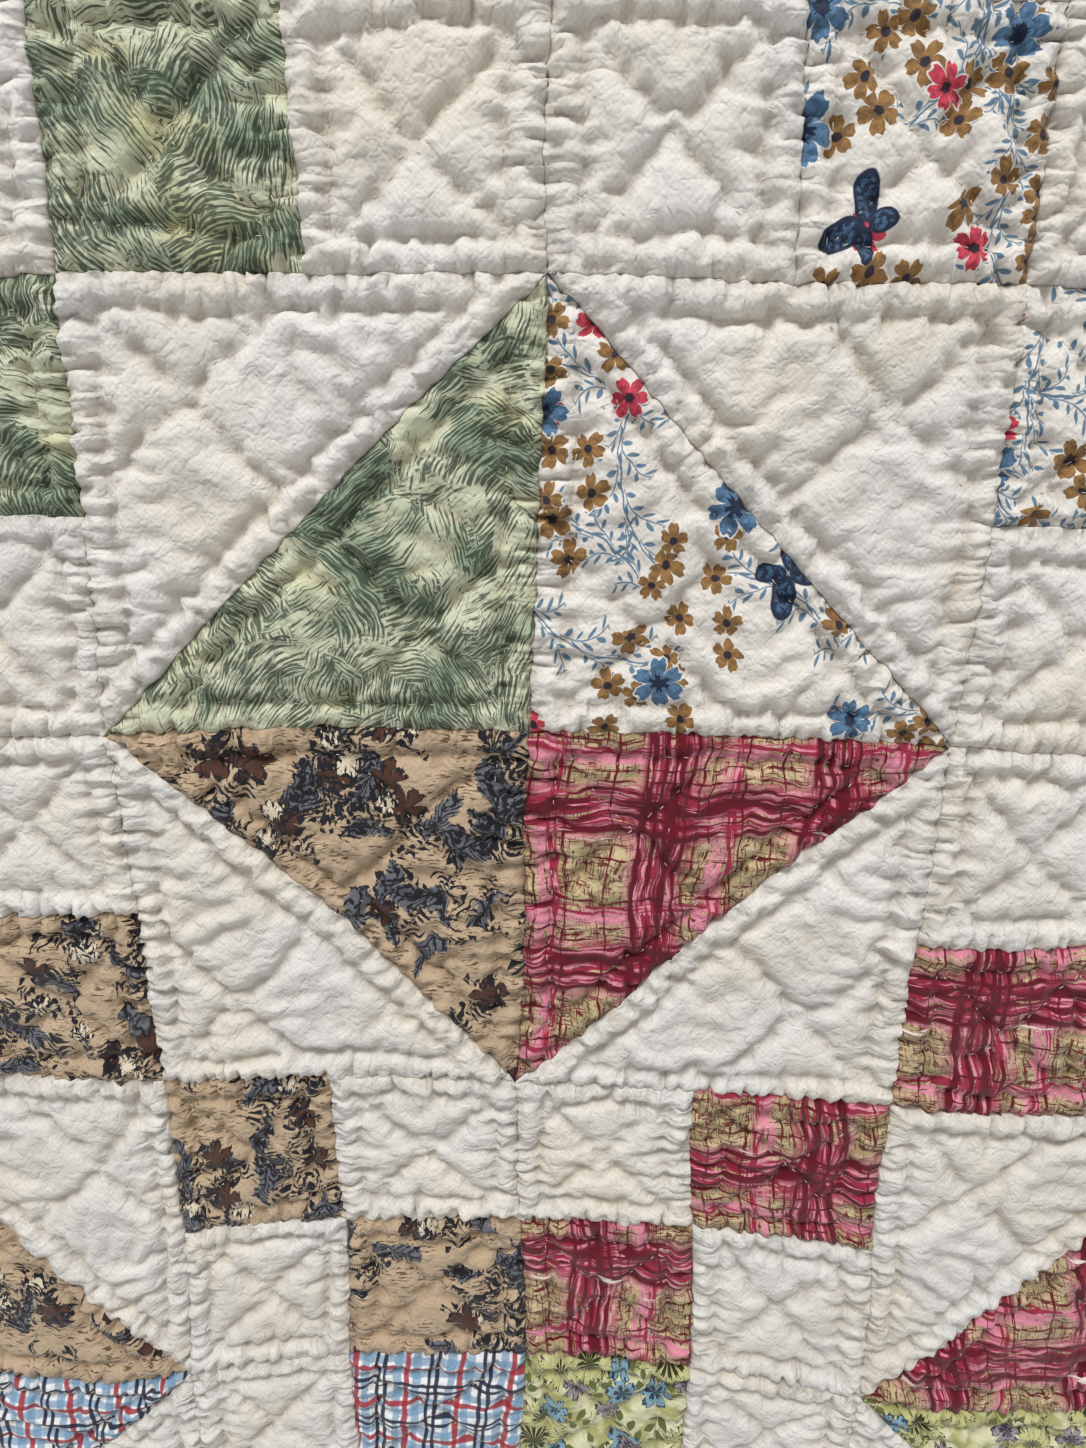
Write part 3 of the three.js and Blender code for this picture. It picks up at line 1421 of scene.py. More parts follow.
def sprig(
    tree: Tree, offset: Socket, reach: float, pitch: float, leaf: float, width: float
) -> Socket:
    """Draws a curved twig with a leaf to each side in turn.

    Args:
        tree: The node tree.
        offset: The offset from its middle, in millimetres.
        reach: Half its length.
        pitch: Distance from leaf to leaf on one side.
        leaf: Length of a leaf.
        width: Half the width of a leaf.

    Returns:
        How far inside the twig or a leaf a point is, in millimetres, and less than 0 outside.
    """
    x = add(tree, "SeparateXYZ", offset)
    bow = add(tree, "Math MULTIPLY", x, x)
    y = add(tree, "Math MULTIPLY_ADD", bow, -0.35 / reach, x.node.outputs[1])
    straight = add(tree, "CombineXYZ", x, y)
    out = add(tree, "SeparateXYZ", side_shoots(tree, straight, pitch, 0.8))
    across = add(tree, "Math ABSOLUTE", out.node.outputs[1])
    # A leaf is broadest a little past its middle.
    share = add(tree, "Math MULTIPLY_ADD", out, 2 / leaf, -1.15)
    belly = add(tree, "Math MULTIPLY", share, share)
    belly = add(tree, "Math MULTIPLY_ADD", belly, -width, width)
    leaves = add(tree, "Math SUBTRACT", belly, across)
    aside = add(tree, "Math ABSOLUTE", y)
    twig = add(tree, "Math SUBTRACT", 0.15, aside)
    both = add(tree, "Math MAXIMUM", leaves, twig)
    end = add(tree, "Math SUBTRACT", reach, add(tree, "Math ABSOLUTE", x))
    return add(tree, "Math MINIMUM", both, end)


def feather(
    tree: Tree, offset: Socket, reach: float, width: float, pitch: float
) -> tuple[Socket, Socket]:
    """Draws a broad bowed leaf with a rib and barbs that lean towards its tip.

    Args:
        tree: The node tree.
        offset: The offset from its middle, in millimetres.
        reach: Half its length.
        width: Half its width.
        pitch: Distance from barb to barb.

    Returns:
        How far inside its body a point is, in millimetres, and how far inside its lines.
    """
    x = add(tree, "SeparateXYZ", offset)
    bow = add(tree, "Math MULTIPLY", x, x)
    y = add(tree, "Math MULTIPLY_ADD", bow, -0.3 / reach, x.node.outputs[1])
    aside = add(tree, "Math ABSOLUTE", y)
    body = add(tree, "Math MULTIPLY_ADD", bow, -width / reach**2, width)
    body = add(tree, "Math SUBTRACT", body, aside)
    step = add(tree, "Math MULTIPLY_ADD", aside, -1.1, x)
    step = add(tree, "Math MULTIPLY", step, 1 / pitch)
    step = add(tree, "Math FRACT", step)
    step = add(tree, "Math SUBTRACT", step, 0.5)
    step = add(tree, "Math ABSOLUTE", step)
    barbs = add(tree, "Math MULTIPLY_ADD", step, 0.8 * pitch, -0.27 * pitch)
    rib = add(tree, "Math SUBTRACT", 0.35, aside)
    lines = add(tree, "Math MAXIMUM", barbs, rib)
    end = add(tree, "Math ADD", body, 0.5)
    return body, add(tree, "Math MINIMUM", lines, end)


def branch(tree: Tree, offset: Socket, reach: float, leaf: float) -> Socket:
    """Draws a long bowed stem with leafy shoots.

    Args:
        tree: The node tree.
        offset: The offset from its middle, in millimetres.
        reach: Half its length.
        leaf: Length of a leaf.

    Returns:
        How far inside the stem, a shoot or a leaf a point is, in millimetres.
    """
    x = add(tree, "SeparateXYZ", offset)
    bow = add(tree, "Math MULTIPLY", x, x)
    y = add(tree, "Math MULTIPLY_ADD", bow, -0.3 / reach, x.node.outputs[1])
    straight = add(tree, "CombineXYZ", x, y)
    shoot = side_shoots(tree, straight, 0.62 * reach, 0.6)
    shoot = add(tree, "VectorMath ADD", shoot, (-1.35 * leaf, 0, 0))
    leafy = sprig(tree, shoot, 1.9 * leaf, 0.95 * leaf, leaf, 0.15 * leaf)
    aside = add(tree, "Math ABSOLUTE", y)
    stem = add(tree, "Math SUBTRACT", 0.2, aside)
    both = add(tree, "Math MAXIMUM", leafy, stem)
    end = add(tree, "Math SUBTRACT", reach, add(tree, "Math ABSOLUTE", x))
    return add(tree, "Math MINIMUM", both, end)


def inked(tree: Tree, base: Value, depth: Socket, colour: Value, edge: float = 0.12) -> Socket:
    """Prints a colour wherever a depth is more than 0.

    Args:
        tree: The node tree.
        base: The colour below.
        depth: How far inside the shape a point is, in millimetres.
        colour: The colour of the ink.
        edge: How softly the ink ends, in millimetres.

    Returns:
        The colour.
    """
    mask = add(tree, "MapRange", depth, -edge, edge, 0.0, 1.0, interpolation_type="SMOOTHSTEP")
    return add(tree, "Mix", mask, base, colour)


def outlined(
    tree: Tree, base: Value, depth: Socket, hatch: Socket, fill: str, line: str, border: float
) -> Socket:
    """Prints a shape with an outline and hatching.

    Args:
        tree: The node tree.
        base: The colour below.
        depth: How far inside the shape a point is, in millimetres.
        hatch: How much further in a line of the hatching reaches there.
        fill: The colour inside the outline.
        line: The colour of the lines.
        border: The width of the outline, in millimetres.

    Returns:
        The colour.
    """
    colour = inked(tree, base, depth, line)
    inner = add(tree, "Math SUBTRACT", depth, border)
    inner = add(tree, "Math SUBTRACT", inner, hatch)
    return inked(tree, colour, inner, fill)


@dataclass(frozen=True)
class WovenCotton:
    """Plain-woven cotton, washed soft: matt, with a faint bloom of fibres along its edges.

    Attributes:
        name: The material's name.
        ground: The colour of the undyed or dyed ground.
        thread: Distance from thread to thread, in millimetres. The real 0.36 mm is too fine to
            show, so the threads are drawn twice as coarse.
        weave_depth: How deep the weave is drawn, in millimetres.
        crumple: How deep the fine creases of washing are, in millimetres.
    """

    name: str
    ground: str
    thread: float = 0.72
    weave_depth: float = 0.05
    crumple: float = 1.0

    def make(self) -> bpy.types.Material:
        """Makes the material."""
        material = bpy.data.materials.new(self.name)
        material.use_nodes = True
        tree = material.node_tree
        threads = add(tree, "UVMap", uv_map="weave")
        place = add(tree, "VectorMath MULTIPLY", threads, (1 / MM, 1 / MM, 0))
        surface = tree.nodes["Principled BSDF"]
        woven = self.woven(tree, place)
        shade = add(tree, "MapRange", woven, 0.0, 1.0, 0.88, 1.09)
        colour = self.washed(tree, place, self.printed(tree, place))
        # Painted shade darkens and warms the cloth in its creases; the puffs keep their own colour.
        crease = add(tree, "Attribute", attribute_name="crease", out="Fac")
        colour = add(tree, "Mix", crease, colour, self.crease_shade_colour(tree, colour))
        colour = add(tree, "VectorMath SCALE", colour, shade)
        tree.links.new(colour, surface.inputs["Base Color"])
        surface.inputs["Roughness"].default_value = 0.9
        surface.inputs["Specular IOR Level"].default_value = 0.25
        surface.inputs["Sheen Weight"].default_value = 0.12
        surface.inputs["Sheen Roughness"].default_value = 0.6
        rough = add(tree, "Math ADD", self.crumpled(tree, place), self.pleated(tree, place))
        creased = add(tree, "Bump", 0.8, self.crumple * MM, None, rough)
        height = self.weave_depth * MM
        fine = add(tree, "Bump", 0.7, height, None, woven, creased)
        tree.links.new(fine, surface.inputs["Normal"])
        return material

    def crease_shade_colour(self, tree: Tree, colour: Socket) -> Socket:
        """Returns the colour darkened and warmed by the painted shade at the bottom of a crease."""
        return add(tree, "VectorMath MULTIPLY", colour, (0.82, 0.785, 0.745))

    def woven(self, tree: Tree, place: Socket) -> Socket:
        """Weaves over-and-under threads with slubs.

        Args:
            tree: The node tree.
            place: The place on the cloth, in millimetres.

        Returns:
            The height of the weave, from 0 to 1.
        """
        strayed = add(tree, "TexNoise", place, 0.35, 1.0, 0.5)
        strayed = add(tree, "Math MULTIPLY", strayed, 2.2)
        turn = math.pi / self.thread
        x = add(tree, "SeparateXYZ", place)
        waves = []
        for along in (x, x.node.outputs[1]):
            angle = add(tree, "Math MULTIPLY_ADD", along, turn, strayed)
            waves.append(add(tree, "Math SINE", angle))
        over = add(tree, "Math MULTIPLY", *waves)
        over = add(tree, "Math MULTIPLY_ADD", over, 0.3, 0.3)
        slubs = []
        for size in ((0.16, 2.4, 1), (2.4, 0.16, 1)):
            stretched = add(tree, "VectorMath MULTIPLY", place, size)
            slubs.append(add(tree, "TexNoise", stretched, 1.0, 2.0, 0.6))
        slub = add(tree, "Math ADD", *slubs)
        return add(tree, "Math MULTIPLY_ADD", slub, 0.45, over)

    def crumpled(self, tree: Tree, place: Socket) -> Socket:
        """Returns the height of the fine creases that washing leaves, from 0 to 1."""
        torn = add(tree, "TexNoise", place, 0.3, 2.0, 0.5, out="Color")
        torn = add(tree, "VectorMath MULTIPLY_ADD", torn, (5, 5, 0), place)
        far = add(tree, "TexVoronoi", torn, 0.17, 0.0, 0.5, 2.0, 1.0, out="Distance")
        puffs = add(tree, "Math MULTIPLY", add(tree, "Math POWER", far, 2.0), -0.7)
        soft = add(tree, "TexNoise", place, 0.21, 2.0, 0.55)
        soft = add(tree, "Math SUBTRACT", soft, 0.5)
        soft = add(tree, "Math ABSOLUTE", soft)
        return add(tree, "Math MULTIPLY_ADD", soft, 1.6, puffs)

    def pleated(self, tree: Tree, place: Socket) -> Socket:
        """Returns the height of the fine round pleats that run away from the seams."""
        shares = add(tree, "Attribute", attribute_name="pleated", out="Vector")
        shares = add(tree, "SeparateXYZ", shares).node.outputs
        total = 0.0
        sizes = ((0.05, 0.27, 1), (0.27, 0.05, 1), (0.14, 0.14, 1))
        for share, size in zip(shares, sizes, strict=True):
            stretched = add(tree, "VectorMath MULTIPLY", place, size)
            wave = add(tree, "TexNoise", stretched, 1.0, 1.0, 0.5)
            wave = add(tree, "Math SUBTRACT", wave, 0.5)
            wave = add(tree, "Math ABSOLUTE", wave)
            wave = add(tree, "Math MULTIPLY", wave, 3.0)
            total = add(tree, "Math MULTIPLY_ADD", wave, share, total)
        return total

    def washed(self, tree: Tree, place: Socket, colour: Value) -> Socket:
        """Fades the cloth unevenly.

        Args:
            tree: The node tree.
            place: The place on the cloth, in millimetres.
            colour: Its colour before washing.

        Returns:
            The colour after it.
        """
        cloudy = blotches(tree, place, 30, 24, 0.3, 0.7)
        paler = add(tree, "MapRange", cloudy, 0.0, 1.0, 0.955, 1.03)
        return add(tree, "VectorMath SCALE", colour, paler)

    def printed(self, tree: Tree, place: Socket) -> Socket:
        """Returns the colour of the cloth as it was printed: here plain."""
        yellowed = blotches(tree, place, 45, 45, 0.35, 0.75)
        return add(tree, "Mix", yellowed, self.ground, "#D8D2C6")


@dataclass(frozen=True)
class BrushedSage(WovenCotton):
    """Roller-printed cotton: tufts of fine green strokes over a pale ground, like ruffled fur."""

    stroke: float = 0.95
    dark: str = "#2F4233"
    middle: str = "#82937A"

    def printed(self, tree: Tree, place: Socket) -> Socket:
        """Returns the colour of the print."""
        limed = blotches(tree, place, 46, 40, 0.56, 0.68)
        colour = add(tree, "Mix", limed, self.ground, "#C9C69A")
        torn = add(tree, "TexNoise", place, 0.5, 2.0, 0.5, out="Color")
        torn = add(tree, "VectorMath SUBTRACT", torn, (0.5, 0.5, 0.5))
        torn = add(tree, "VectorMath MULTIPLY", torn, (9, 9, 0))
        # Dark and bare patches, the same for both layers.
        wet = blotches(tree, place, 21, 16, 0.32, 0.68)
        wash = add(tree, "MapRange", wet, 0.35, 0.95, 0.0, 0.85)
        colour = add(tree, "Mix", wash, colour, self.middle)
        tufts = []
        for pitch, shift, density in ((24.0, 0.0, 0.2), (17.0, 59.0, 0.1)):
            offset, own, _ = scatter(tree, place, pitch, 1.0, shift, torn)
            leaning = turned(tree, offset, own[0])
            tufts.append(self.tuft(tree, place, leaning, wet, own[1], density))
        # Small tufts lie over the large ones here and there.
        over = add(tree, "TexNoise", place, 0.06, 3.0, 0.55)
        over = add(tree, "MapRange", over, 0.52, 0.56, 0.0, 1.0)
        mask = add(tree, "Mix", over, *tufts, data_type="FLOAT")
        return add(tree, "Mix", mask, colour, self.dark)

    def tuft(
        self, tree: Tree, place: Socket, offset: Socket, wet: Socket, own: Socket, density: float
    ) -> Socket:
        """Draws a tuft of long strokes that fan out and bend over.

        Args:
            tree: The node tree.
            place: The place on the cloth, in millimetres.
            offset: The offset from the tuft's middle, with the strokes along Y.
            wet: How much ink the cloth took there, from 0 to 1.
            own: A random number of the tuft's own.
            density: How heavily it is inked.

        Returns:
            The mask of the ink.
        """
        x = add(tree, "SeparateXYZ", offset)
        y = x.node.outputs[1]
        fan = add(tree, "Math MULTIPLY", x, y)
        across = add(tree, "Math MULTIPLY_ADD", fan, 0.022, x)
        bend = add(tree, "Math MULTIPLY", y, y)
        across = add(tree, "Math MULTIPLY_ADD", bend, 0.016, across)
        sway = add(tree, "TexNoise", place, 0.09, 0.0, 0.5)
        across = add(tree, "Math MULTIPLY_ADD", sway, 1.8, across)
        angle = add(tree, "Math MULTIPLY", across, 2 * math.pi / self.stroke)
        stroke = add(tree, "Math SINE", angle)
        # A stroke breaks off here and there, and runs dry towards its tip.
        lines = add(tree, "CombineXYZ", across, add(tree, "Math MULTIPLY", y, 0.1))
        ends = add(tree, "TexNoise", lines, 1.7, 2.0, 0.65)
        ends = add(tree, "MapRange", ends, 0.3, 0.7, -1.0, 1.0)
        root = add(tree, "MapRange", y, -9.0, 9.0, 0.45 + density, -0.75 + density)
        dense = add(tree, "Math MULTIPLY_ADD", wet, 1.7, root)
        dense = add(tree, "Math MULTIPLY_ADD", own, 0.7, dense)
        dense = add(tree, "Math SUBTRACT", dense, 0.15)
        dense = add(tree, "Math MINIMUM", dense, 1.25)
        dense = add(tree, "Math MULTIPLY_ADD", ends, 1.35, dense)
        ink = add(tree, "Math MULTIPLY_ADD", stroke, 0.5, dense)
        return add(tree, "MapRange", ink, 0.7, 1.35, 0.0, 0.88)


@dataclass(frozen=True)
class SprigFloral(WovenCotton):
    """Screen-printed cotton: small flowers, leafy twigs and a butterfly here and there on white."""

    twig: str = "#607C93"
    coral: str = "#CF4458"
    ochre: str = "#957040"
    blue: str = "#567A9C"
    navy: str = "#1C2840"

    def printed(self, tree: Tree, place: Socket) -> Socket:
        """Returns the colour of the print."""
        colour = self.ground
        for pitch, shift, reach, leaf, share in (
            (30.0, 0.0, 18.0, 3.1, 0.95),
            (27.0, 61.0, 14.0, 2.8, 0.75),
        ):
            offset, own, thick = scatter(tree, place, pitch, 0.9, shift)
            twig = branch(tree, turned(tree, offset, own[0]), reach, leaf)
            twig = grown(tree, twig, own[1], thick, share)
            colour = inked(tree, colour, twig, self.twig)
        layers = (
            (9.0, 23.0, 5, 3.9, 0.26, self.ochre, "#2B2430", 0.8),
            (28.0, 47.0, 6, 3.8, 0.8, self.coral, "#2E1A28", 0.8),
            (35.0, 91.0, 6, 5.8, 0.75, self.blue, self.navy, 0.62),
        )
        for pitch, shift, petals, radius, share, ink, heart, core in layers:
            offset, own, thick = scatter(tree, place, pitch, 0.75, shift)
            depth = blossom(tree, offset, own, petals, radius)
            depth = grown(tree, depth, own[2], thick, share)
            halo = add(tree, "Math ADD", depth, 0.5)
            colour = inked(tree, colour, halo, self.ground)
            shaded = blotches(tree, place, 1.6, 1.6, 0.4, 0.62)
            petal = add(tree, "Mix", 0.38, ink, heart)
            petal = add(tree, "Mix", shaded, ink, petal)
            colour = inked(tree, colour, depth, petal)
            inner = add(tree, "Math SUBTRACT", depth, core * radius)
            far = add(tree, "VectorMath LENGTH", offset, out="Value")
            middle = add(tree, "Math SUBTRACT", 0.24 * radius, far)
            middle = add(tree, "Math MINIMUM", middle, depth)
            inner = add(tree, "Math MAXIMUM", inner, middle)
            colour = inked(tree, colour, inner, heart)
        return self.butterflies(tree, place, colour)

    def butterflies(self, tree: Tree, place: Socket, colour: Socket) -> Socket:
        """Adds a butterfly here and there.

        Args:
            tree: The node tree.
            place: The place on the cloth, in millimetres.
            colour: The colour below.

        Returns:
            The colour.
        """
        offset, own, _ = scatter(tree, place, 84, 0.7, 133)
        x = add(tree, "SeparateXYZ", turned(tree, offset, own[0]))
        beside = add(tree, "Math ABSOLUTE", x)
        mirrored = add(tree, "CombineXYZ", beside, x.node.outputs[1])
        wings = []
        for middle, turn, across, along in (
            ((4.2, 2.8, 0), 0.6, 4.9, 3.0),
            ((3.0, -2.6, 0), -0.7, 3.4, 2.2),
        ):
            wing = add(tree, "VectorMath SUBTRACT", mirrored, middle)
            wing = add(tree, "VectorRotate", wing, (0, 0, 0), -turn)
            wing = add(tree, "VectorMath MULTIPLY", wing, (1 / across, 1 / along, 0))
            far = add(tree, "VectorMath LENGTH", wing, out="Value")
            wings.append(add(tree, "Math SUBTRACT", 1.0, far))
        both = add(tree, "Math MAXIMUM", *wings)
        colour = inked(tree, colour, both, self.navy, 0.05)
        inner = add(tree, "Math SUBTRACT", both, 0.25)
        veins = blotches(tree, place, 1.1, 1.1, 0.46, 0.52)
        pale = add(tree, "Mix", veins, "#3F5D7C", self.navy)
        return inked(tree, colour, inner, pale, 0.1)


@dataclass(frozen=True)
class TanFoliage(WovenCotton):
    """Printed cotton: clumps of inked leaves and brown and cream flowers over warm tan."""

    ink: str = "#17171F"
    slate: str = "#64666E"
    brown: str = "#4E3124"
    cream: str = "#D6CAB4"

    def printed(self, tree: Tree, place: Socket) -> Socket:
        """Returns the colour of the print."""
        shaken = add(tree, "TexNoise", place, 0.13, 1.0, 0.5, out="Color")
        bent = add(tree, "VectorMath MULTIPLY_ADD", shaken, (9, 9, 0), place)
        dashes = blotches(tree, place, 2.8, 0.6, 0.56, 0.62)
        patchy = blotches(tree, place, 14, 9, 0.4, 0.56)
        dashes = add(tree, "Math MULTIPLY", dashes, patchy)
        colour = add(tree, "Mix", dashes, self.ground, "#5F4A35")
        rough = add(tree, "TexNoise", place, 0.9, 2.0, 0.65)
        rough = add(tree, "Math MULTIPLY_ADD", rough, 2.2, -1.1)
        hatch = blotches(tree, place, 0.9, 3.4, 0.47, 0.6)
        hatch = add(tree, "Math MULTIPLY", hatch, 1.8)
        for pitch, shift, reach, width, barb, share in (
            (17.0, 71.0, 10.0, 3.3, 2.3, 0.5),
            (14.0, 5.0, 7.5, 2.3, 1.8, 0.42),
        ):
            offset, own, _ = scatter(tree, bent, pitch, 0.9, shift)
            thick = self.clumps(tree, bent, offset)
            body, lines = feather(tree, turned(tree, offset, own[0]), reach, width, barb)
            body = grown(tree, body, own[2], thick, share)
            lines = add(tree, "Math MULTIPLY_ADD", rough, 0.55, lines)
            lines = grown(tree, lines, own[2], thick, share)
            body = add(tree, "Math MULTIPLY_ADD", rough, 0.8, body)
            colour = inked(tree, colour, body, self.slate, 0.3)
            colour = inked(tree, colour, lines, self.ink)
        for pitch, shift, petals, radius, share, fill in (
            (17.0, 29.0, 5, 5.2, 0.45, self.brown),
            (16.0, 11.0, 7, 3.6, 0.4, self.cream),
        ):
            offset, own, _ = scatter(tree, place, pitch, 0.8, shift)
            thick = self.clumps(tree, place, offset)
            depth = blossom(tree, offset, own, petals, radius)
            depth = add(tree, "Math ADD", depth, rough)
            depth = grown(tree, depth, own[2], thick, share)
            colour = outlined(tree, colour, depth, hatch, fill, self.ink, 0.3)
        for pitch, shift, reach, leaf, width, share in (
            (11.0, 17.0, 7.0, 4.6, 0.95, 0.5),
            (8.5, 43.0, 5.0, 3.4, 0.75, 0.45),
        ):
            offset, own, _ = scatter(tree, bent, pitch, 0.9, shift)
            thick = self.clumps(tree, bent, offset)
            depth = sprig(tree, turned(tree, offset, own[0]), reach, 0.55 * leaf, leaf, width)
            depth = add(tree, "Math MULTIPLY_ADD", rough, 0.5, depth)
            depth = grown(tree, depth, own[2], thick, share)
            colour = inked(tree, colour, depth, self.ink)
        return colour

    def clumps(self, tree: Tree, place: Socket, offset: Socket) -> Socket:
        """Makes the motifs of every layer gather in the same places.

        Args:
            tree: The node tree.
            place: The place on the cloth, in millimetres.
            offset: The offset from the middle of a motif there.

        Returns:
            How thickly motifs grow round that middle, from 0 to 1.
        """
        middle = add(tree, "VectorMath SUBTRACT", place, offset)
        thick = add(tree, "TexNoise", middle, 0.042, 1.0, 0.5)
        return add(tree, "MapRange", thick, 0.4, 0.62, 0.0, 1.0)


@dataclass(frozen=True)
class BrushedPlaid(WovenCotton):
    """Printed cotton: a plaid of broad dry-brush strokes in crimson and pink over khaki."""

    repeat: float = 43.0
    pink: str = "#D8899D"
    wash: str = "#94263F"
    crimson: str = "#5F041A"
    chalk: str = "#EADAD3"

    def printed(self, tree: Tree, place: Socket) -> Socket:
        """Returns the colour of the print."""
        shaken = add(tree, "TexNoise", place, 0.05, 0.0, 0.5, out="Color")
        shaken = add(tree, "VectorMath SUBTRACT", shaken, (0.5, 0.5, 0.5))
        place = add(tree, "VectorMath MULTIPLY_ADD", shaken, (4, 4, 0), place)
        x = add(tree, "SeparateXYZ", place)
        sides = ((x, (1, 10)), (x.node.outputs[1], (10, 1)))
        patchy = blotches(tree, place, 9, 3.5, 0.44, 0.56)
        colour = add(tree, "Mix", patchy, self.ground, "#A3956F")
        # Broad washes, then the heavy strokes in the middle of each wash, then stray hairlines.
        paints = (
            (self.pink, 1.3, 0.42, 0.46, ((0.0, 7.5), (0.36, 2.6))),
            (self.wash, 0.9, 0.46, 0.5, ((0.02, 7.0), (0.4, 1.4))),
            (self.crimson, 1.7, 0.4, 0.43, ((-0.12, 1.2), (-0.04, 0.7), (0.05, 1.9), (0.13, 0.6))),
            (self.crimson, 0.6, 0.45, 0.49, ((0.2, 0.4), (0.27, 0.35), (0.46, 0.45), (-0.3, 0.35))),
            (self.chalk, 2.1, 0.66, 0.69, ((-0.18, 2.4),)),
        )
        for wide, tall in ((0.45, 5.0), (5.0, 0.45), (0.9, 4.4), (4.4, 0.9)):
            scratches = blotches(tree, place, wide, tall, 0.63, 0.65)
            scratches = add(tree, "Math MULTIPLY", scratches, 0.9)
            colour = add(tree, "Mix", scratches, colour, self.crimson)
        for paint, fine, low, high, bands in paints:
            for along, (wide, tall) in sides[paint == self.chalk :]:
                bristles = blotches(tree, place, fine * wide, fine * tall, low, high)
                mask = None
                for middle, width in bands:
                    share = add(tree, "Math ADD", along, -middle * self.repeat)
                    share = add(tree, "Math PINGPONG", share, self.repeat / 2)
                    band = add(tree, "MapRange", share, 0.6 * width, 1.3 * width, 1.0, 0.0)
                    mask = band if mask is None else add(tree, "Math MAXIMUM", mask, band)
                mask = add(tree, "Math MULTIPLY", mask, bristles)
                colour = add(tree, "Mix", mask, colour, paint)
        return colour


@dataclass(frozen=True)
class DressCheck(WovenCotton):
    """Yarn-dyed check: red lines between pale blue bands, and navy pairs between, on white."""

    repeat: float = 15.2
    red: str = "#A0212E"
    sky: str = "#7097B8"
    navy: str = "#131B36"

    def printed(self, tree: Tree, place: Socket) -> Socket:
        """Returns the colour of the check."""
        colour = self.ground
        x = add(tree, "SeparateXYZ", place)
        # Each yarn shows where it lies over the yarns that cross it.
        for middle, width, ink, strength in (
            (2.8, 1.1, self.sky, 0.76),
            (0.0, 0.8, self.red, 0.92),
            (6.45, 0.56, self.navy, 0.96),
        ):
            for along in (x, x.node.outputs[1]):
                share = add(tree, "Math PINGPONG", along, self.repeat / 2)
                share = add(tree, "Math ADD", share, -middle)
                share = add(tree, "Math ABSOLUTE", share)
                depth = add(tree, "Math SUBTRACT", width, share)
                mask = add(tree, "MapRange", depth, -0.12, 0.12, 0.0, strength)
                colour = add(tree, "Mix", mask, colour, ink)
        return colour


@dataclass(frozen=True)
class LimeFloral(WovenCotton):
    """Printed cotton: outlined many-petalled flowers and small blue ones over yellow green."""

    outline: str = "#2E3314"
    petal: str = "#BEBE86"
    blue: str = "#7FA3B4"
    lilac: str = "#968D96"

    def printed(self, tree: Tree, place: Socket) -> Socket:
        """Returns the colour of the print."""
        shaded = blotches(tree, place, 8, 8, 0.4, 0.62)
        colour = add(tree, "Mix", shaded, self.ground, "#A5A56C")
        hatch = blotches(tree, place, 0.8, 2.4, 0.5, 0.6)
        offset, own, thick = scatter(tree, place, 12, 0.9, 37)
        leaves = sprig(tree, turned(tree, offset, own[0]), 6, 4.2, 4.4, 1.1)
        colour = inked(tree, colour, grown(tree, leaves, own[1], thick, 0.7), "#5F6734")
        for pitch, shift, petals, radius, share, fill, line in (
            (19.0, 0.0, 13, 8.6, 1.2, self.petal, self.outline),
            (19.0, 53.0, 6, 5.0, 0.5, self.blue, "#273B4E"),
            (19.0, 87.0, 8, 4.2, 0.45, self.lilac, "#433E48"),
        ):
            offset, own, thick = scatter(tree, place, pitch, 0.8, shift)
            depth = blossom(tree, offset, own, petals, radius)
            depth = grown(tree, depth, own[2], thick, share)
            colour = outlined(tree, colour, depth, hatch, fill, line, 0.4)
            core = add(tree, "Math SUBTRACT", depth, 0.56 * radius)
            colour = inked(tree, colour, core, line)
        return colour


@dataclass(frozen=True)
class CottonThread:
    """Glazed two-ply cotton thread: smoother than the cloth, with a low gloss."""

    colour: str = "#DAD5CB"

    def make(self) -> bpy.types.Material:
        """Makes the material."""
        material = bpy.data.materials.new("quilting_thread")
        material.use_nodes = True
        tree = material.node_tree
        surface = tree.nodes["Principled BSDF"]
        threads = add(tree, "UVMap", uv_map="weave")
        uneven = add(tree, "TexNoise", threads, 40.0, 2.0, 0.5)
        tone = add(tree, "MapRange", uneven, 0.3, 0.7, 0.9, 1.05)
        colour = add(tree, "VectorMath SCALE", linear(self.colour)[:3], tone)
        tree.links.new(colour, surface.inputs["Base Color"])
        surface.inputs["Roughness"].default_value = 0.7
        surface.inputs["Sheen Weight"].default_value = 0.1
        return material


FINISHES = {
    Fabric.MUSLIN: WovenCotton("bleached_muslin", "#D8D6D2"),
    Fabric.SAGE: BrushedSage("brushed_sage_print", "#C9CCB1", weave_depth=0.03),
    Fabric.SPRIG: SprigFloral("sprig_floral_print", "#DDD9D2", weave_depth=0.03),
    Fabric.TAN: TanFoliage("tan_foliage_print", "#B9A388", weave_depth=0.03),
    Fabric.PLAID: BrushedPlaid("brushed_plaid_print", "#C4B28C", weave_depth=0.03),
    Fabric.CHECK: DressCheck("dress_check", "#E6E8EA", weave_depth=0.03),
    Fabric.LIME: LimeFloral("lime_floral_print", "#D0D0AC", weave_depth=0.03),
}


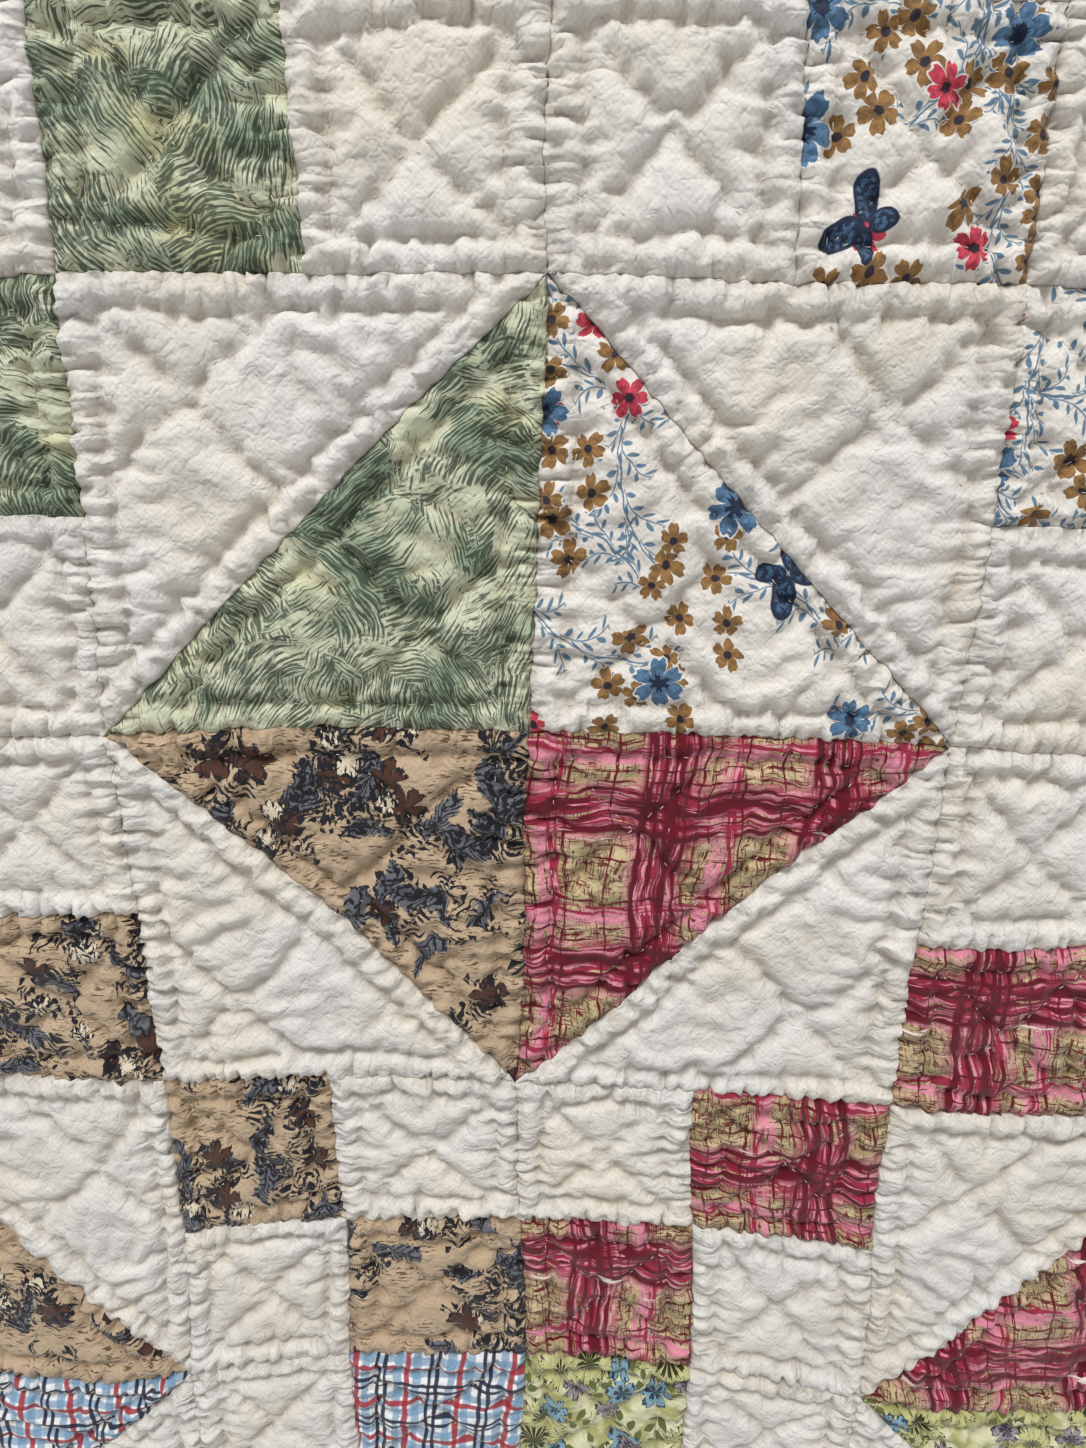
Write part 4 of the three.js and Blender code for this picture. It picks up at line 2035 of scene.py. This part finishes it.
@dataclass
class Studio:
    """The pale floor, the soft light and the camera, with places in metres and turns in degrees.

    Attributes:
        floor_side: Side of the floor.
        floor_drop: How far it is below the backing, in millimetres.
        window_size: Width and height of the window light.
        window_power: Its power, in watts.
        window_place: Where it is.
        window_turn: How it is turned.
        room_light: Strength of the light of the room.
        lens: The camera's focal length, in millimetres.
        camera_place: Where it is.
        camera_turn: How it is turned.
    """

    floor_side: float = 12.0
    floor_drop: float = 0.02
    window_size: tuple[float, float] = (1.4, 0.8)
    window_power: float = 79.0
    window_place: tuple[float, float, float] = (-0.38, 2.7, 1.48)
    window_turn: tuple[float, float, float] = (-61.5, 0.0, -8.0)
    room_light: float = 0.62
    lens: float = 21.63
    camera_place: tuple[float, float, float] = (0.0047, 0.0634, 0.2056)
    camera_turn: tuple[float, float, float] = (-16.54, 0.89, 1.16)

    def make(self) -> None:
        """Sets all of it up."""
        self.floor()
        self.lights()
        self.camera()

    def floor(self) -> None:
        """Makes the floor."""
        bpy.ops.object.select_all(action="DESELECT")
        # A hair below the backing, so that the two never share a plane.
        low = (0, 0, -self.floor_drop * MM)
        bpy.ops.mesh.primitive_plane_add(size=self.floor_side, location=low)
        floor = bpy.context.object
        floor.name = "floor"
        paint = bpy.data.materials.new("matt_paint")
        paint.use_nodes = True
        surface = paint.node_tree.nodes["Principled BSDF"]
        surface.inputs["Base Color"].default_value = linear("#D9D8D5")
        surface.inputs["Roughness"].default_value = 0.9
        floor.data.materials.append(paint)

    def lights(self) -> None:
        """Makes a broad window light from the head of the quilt, and the light of the room."""
        lamp = bpy.data.lights.new("window", "AREA")
        lamp.shape = "RECTANGLE"
        lamp.size, lamp.size_y = self.window_size
        lamp.energy = self.window_power
        lamp.color = (1.0, 0.99, 0.98)
        window = bpy.data.objects.new("window", lamp)
        window.location = self.window_place
        window.rotation_euler = [math.radians(k) for k in self.window_turn]
        bpy.context.scene.collection.objects.link(window)
        world = bpy.data.worlds.new("room")
        world.use_nodes = True
        room = world.node_tree.nodes["Background"]
        room.inputs["Color"].default_value = linear("#F1F0EF")
        room.inputs["Strength"].default_value = self.room_light
        bpy.context.scene.world = world
        bpy.context.scene.view_settings.view_transform = "Standard"

    def camera(self) -> None:
        """Makes the camera."""
        lens = bpy.data.cameras.new("camera")
        lens.lens = self.lens
        lens.clip_start = 0.01
        camera = bpy.data.objects.new("camera", lens)
        camera.location = self.camera_place
        camera.rotation_euler = [math.radians(k) for k in self.camera_turn]
        bpy.context.scene.collection.objects.link(camera)
        bpy.context.scene.camera = camera


def main() -> None:
    """Builds the quilt and reports its pieces."""
    size = measures_of_frame()
    patchwork = Patchwork(size)
    patchwork.lay_out()
    quilting = HandQuilting(size)
    quilting.sew(patchwork.patches)
    LOG.info("%d stitches", len(quilting.table))
    top = PuckeredTop(size, quilting)
    top.relax()
    LOG.info("top relaxed")
    cloth = LaidCloth(size, top)
    cloth.lay()
    finishes = {fabric: finish.make() for fabric, finish in FINISHES.items()}
    count = PatchSewing(size, cloth).sew(patchwork.patches, finishes)
    LOG.info("%d patches", count)
    backing = Backing(size, cloth)
    backing.make(finishes[Fabric.MUSLIN])
    QuiltingThread(size, quilting, cloth, backing).make(CottonThread().make())
    LOG.info("backing and thread")
    Studio().make()


if __name__ == "__main__":
    logging.basicConfig(level=logging.INFO, format="%(relativeCreated)d %(message)s")
    main()
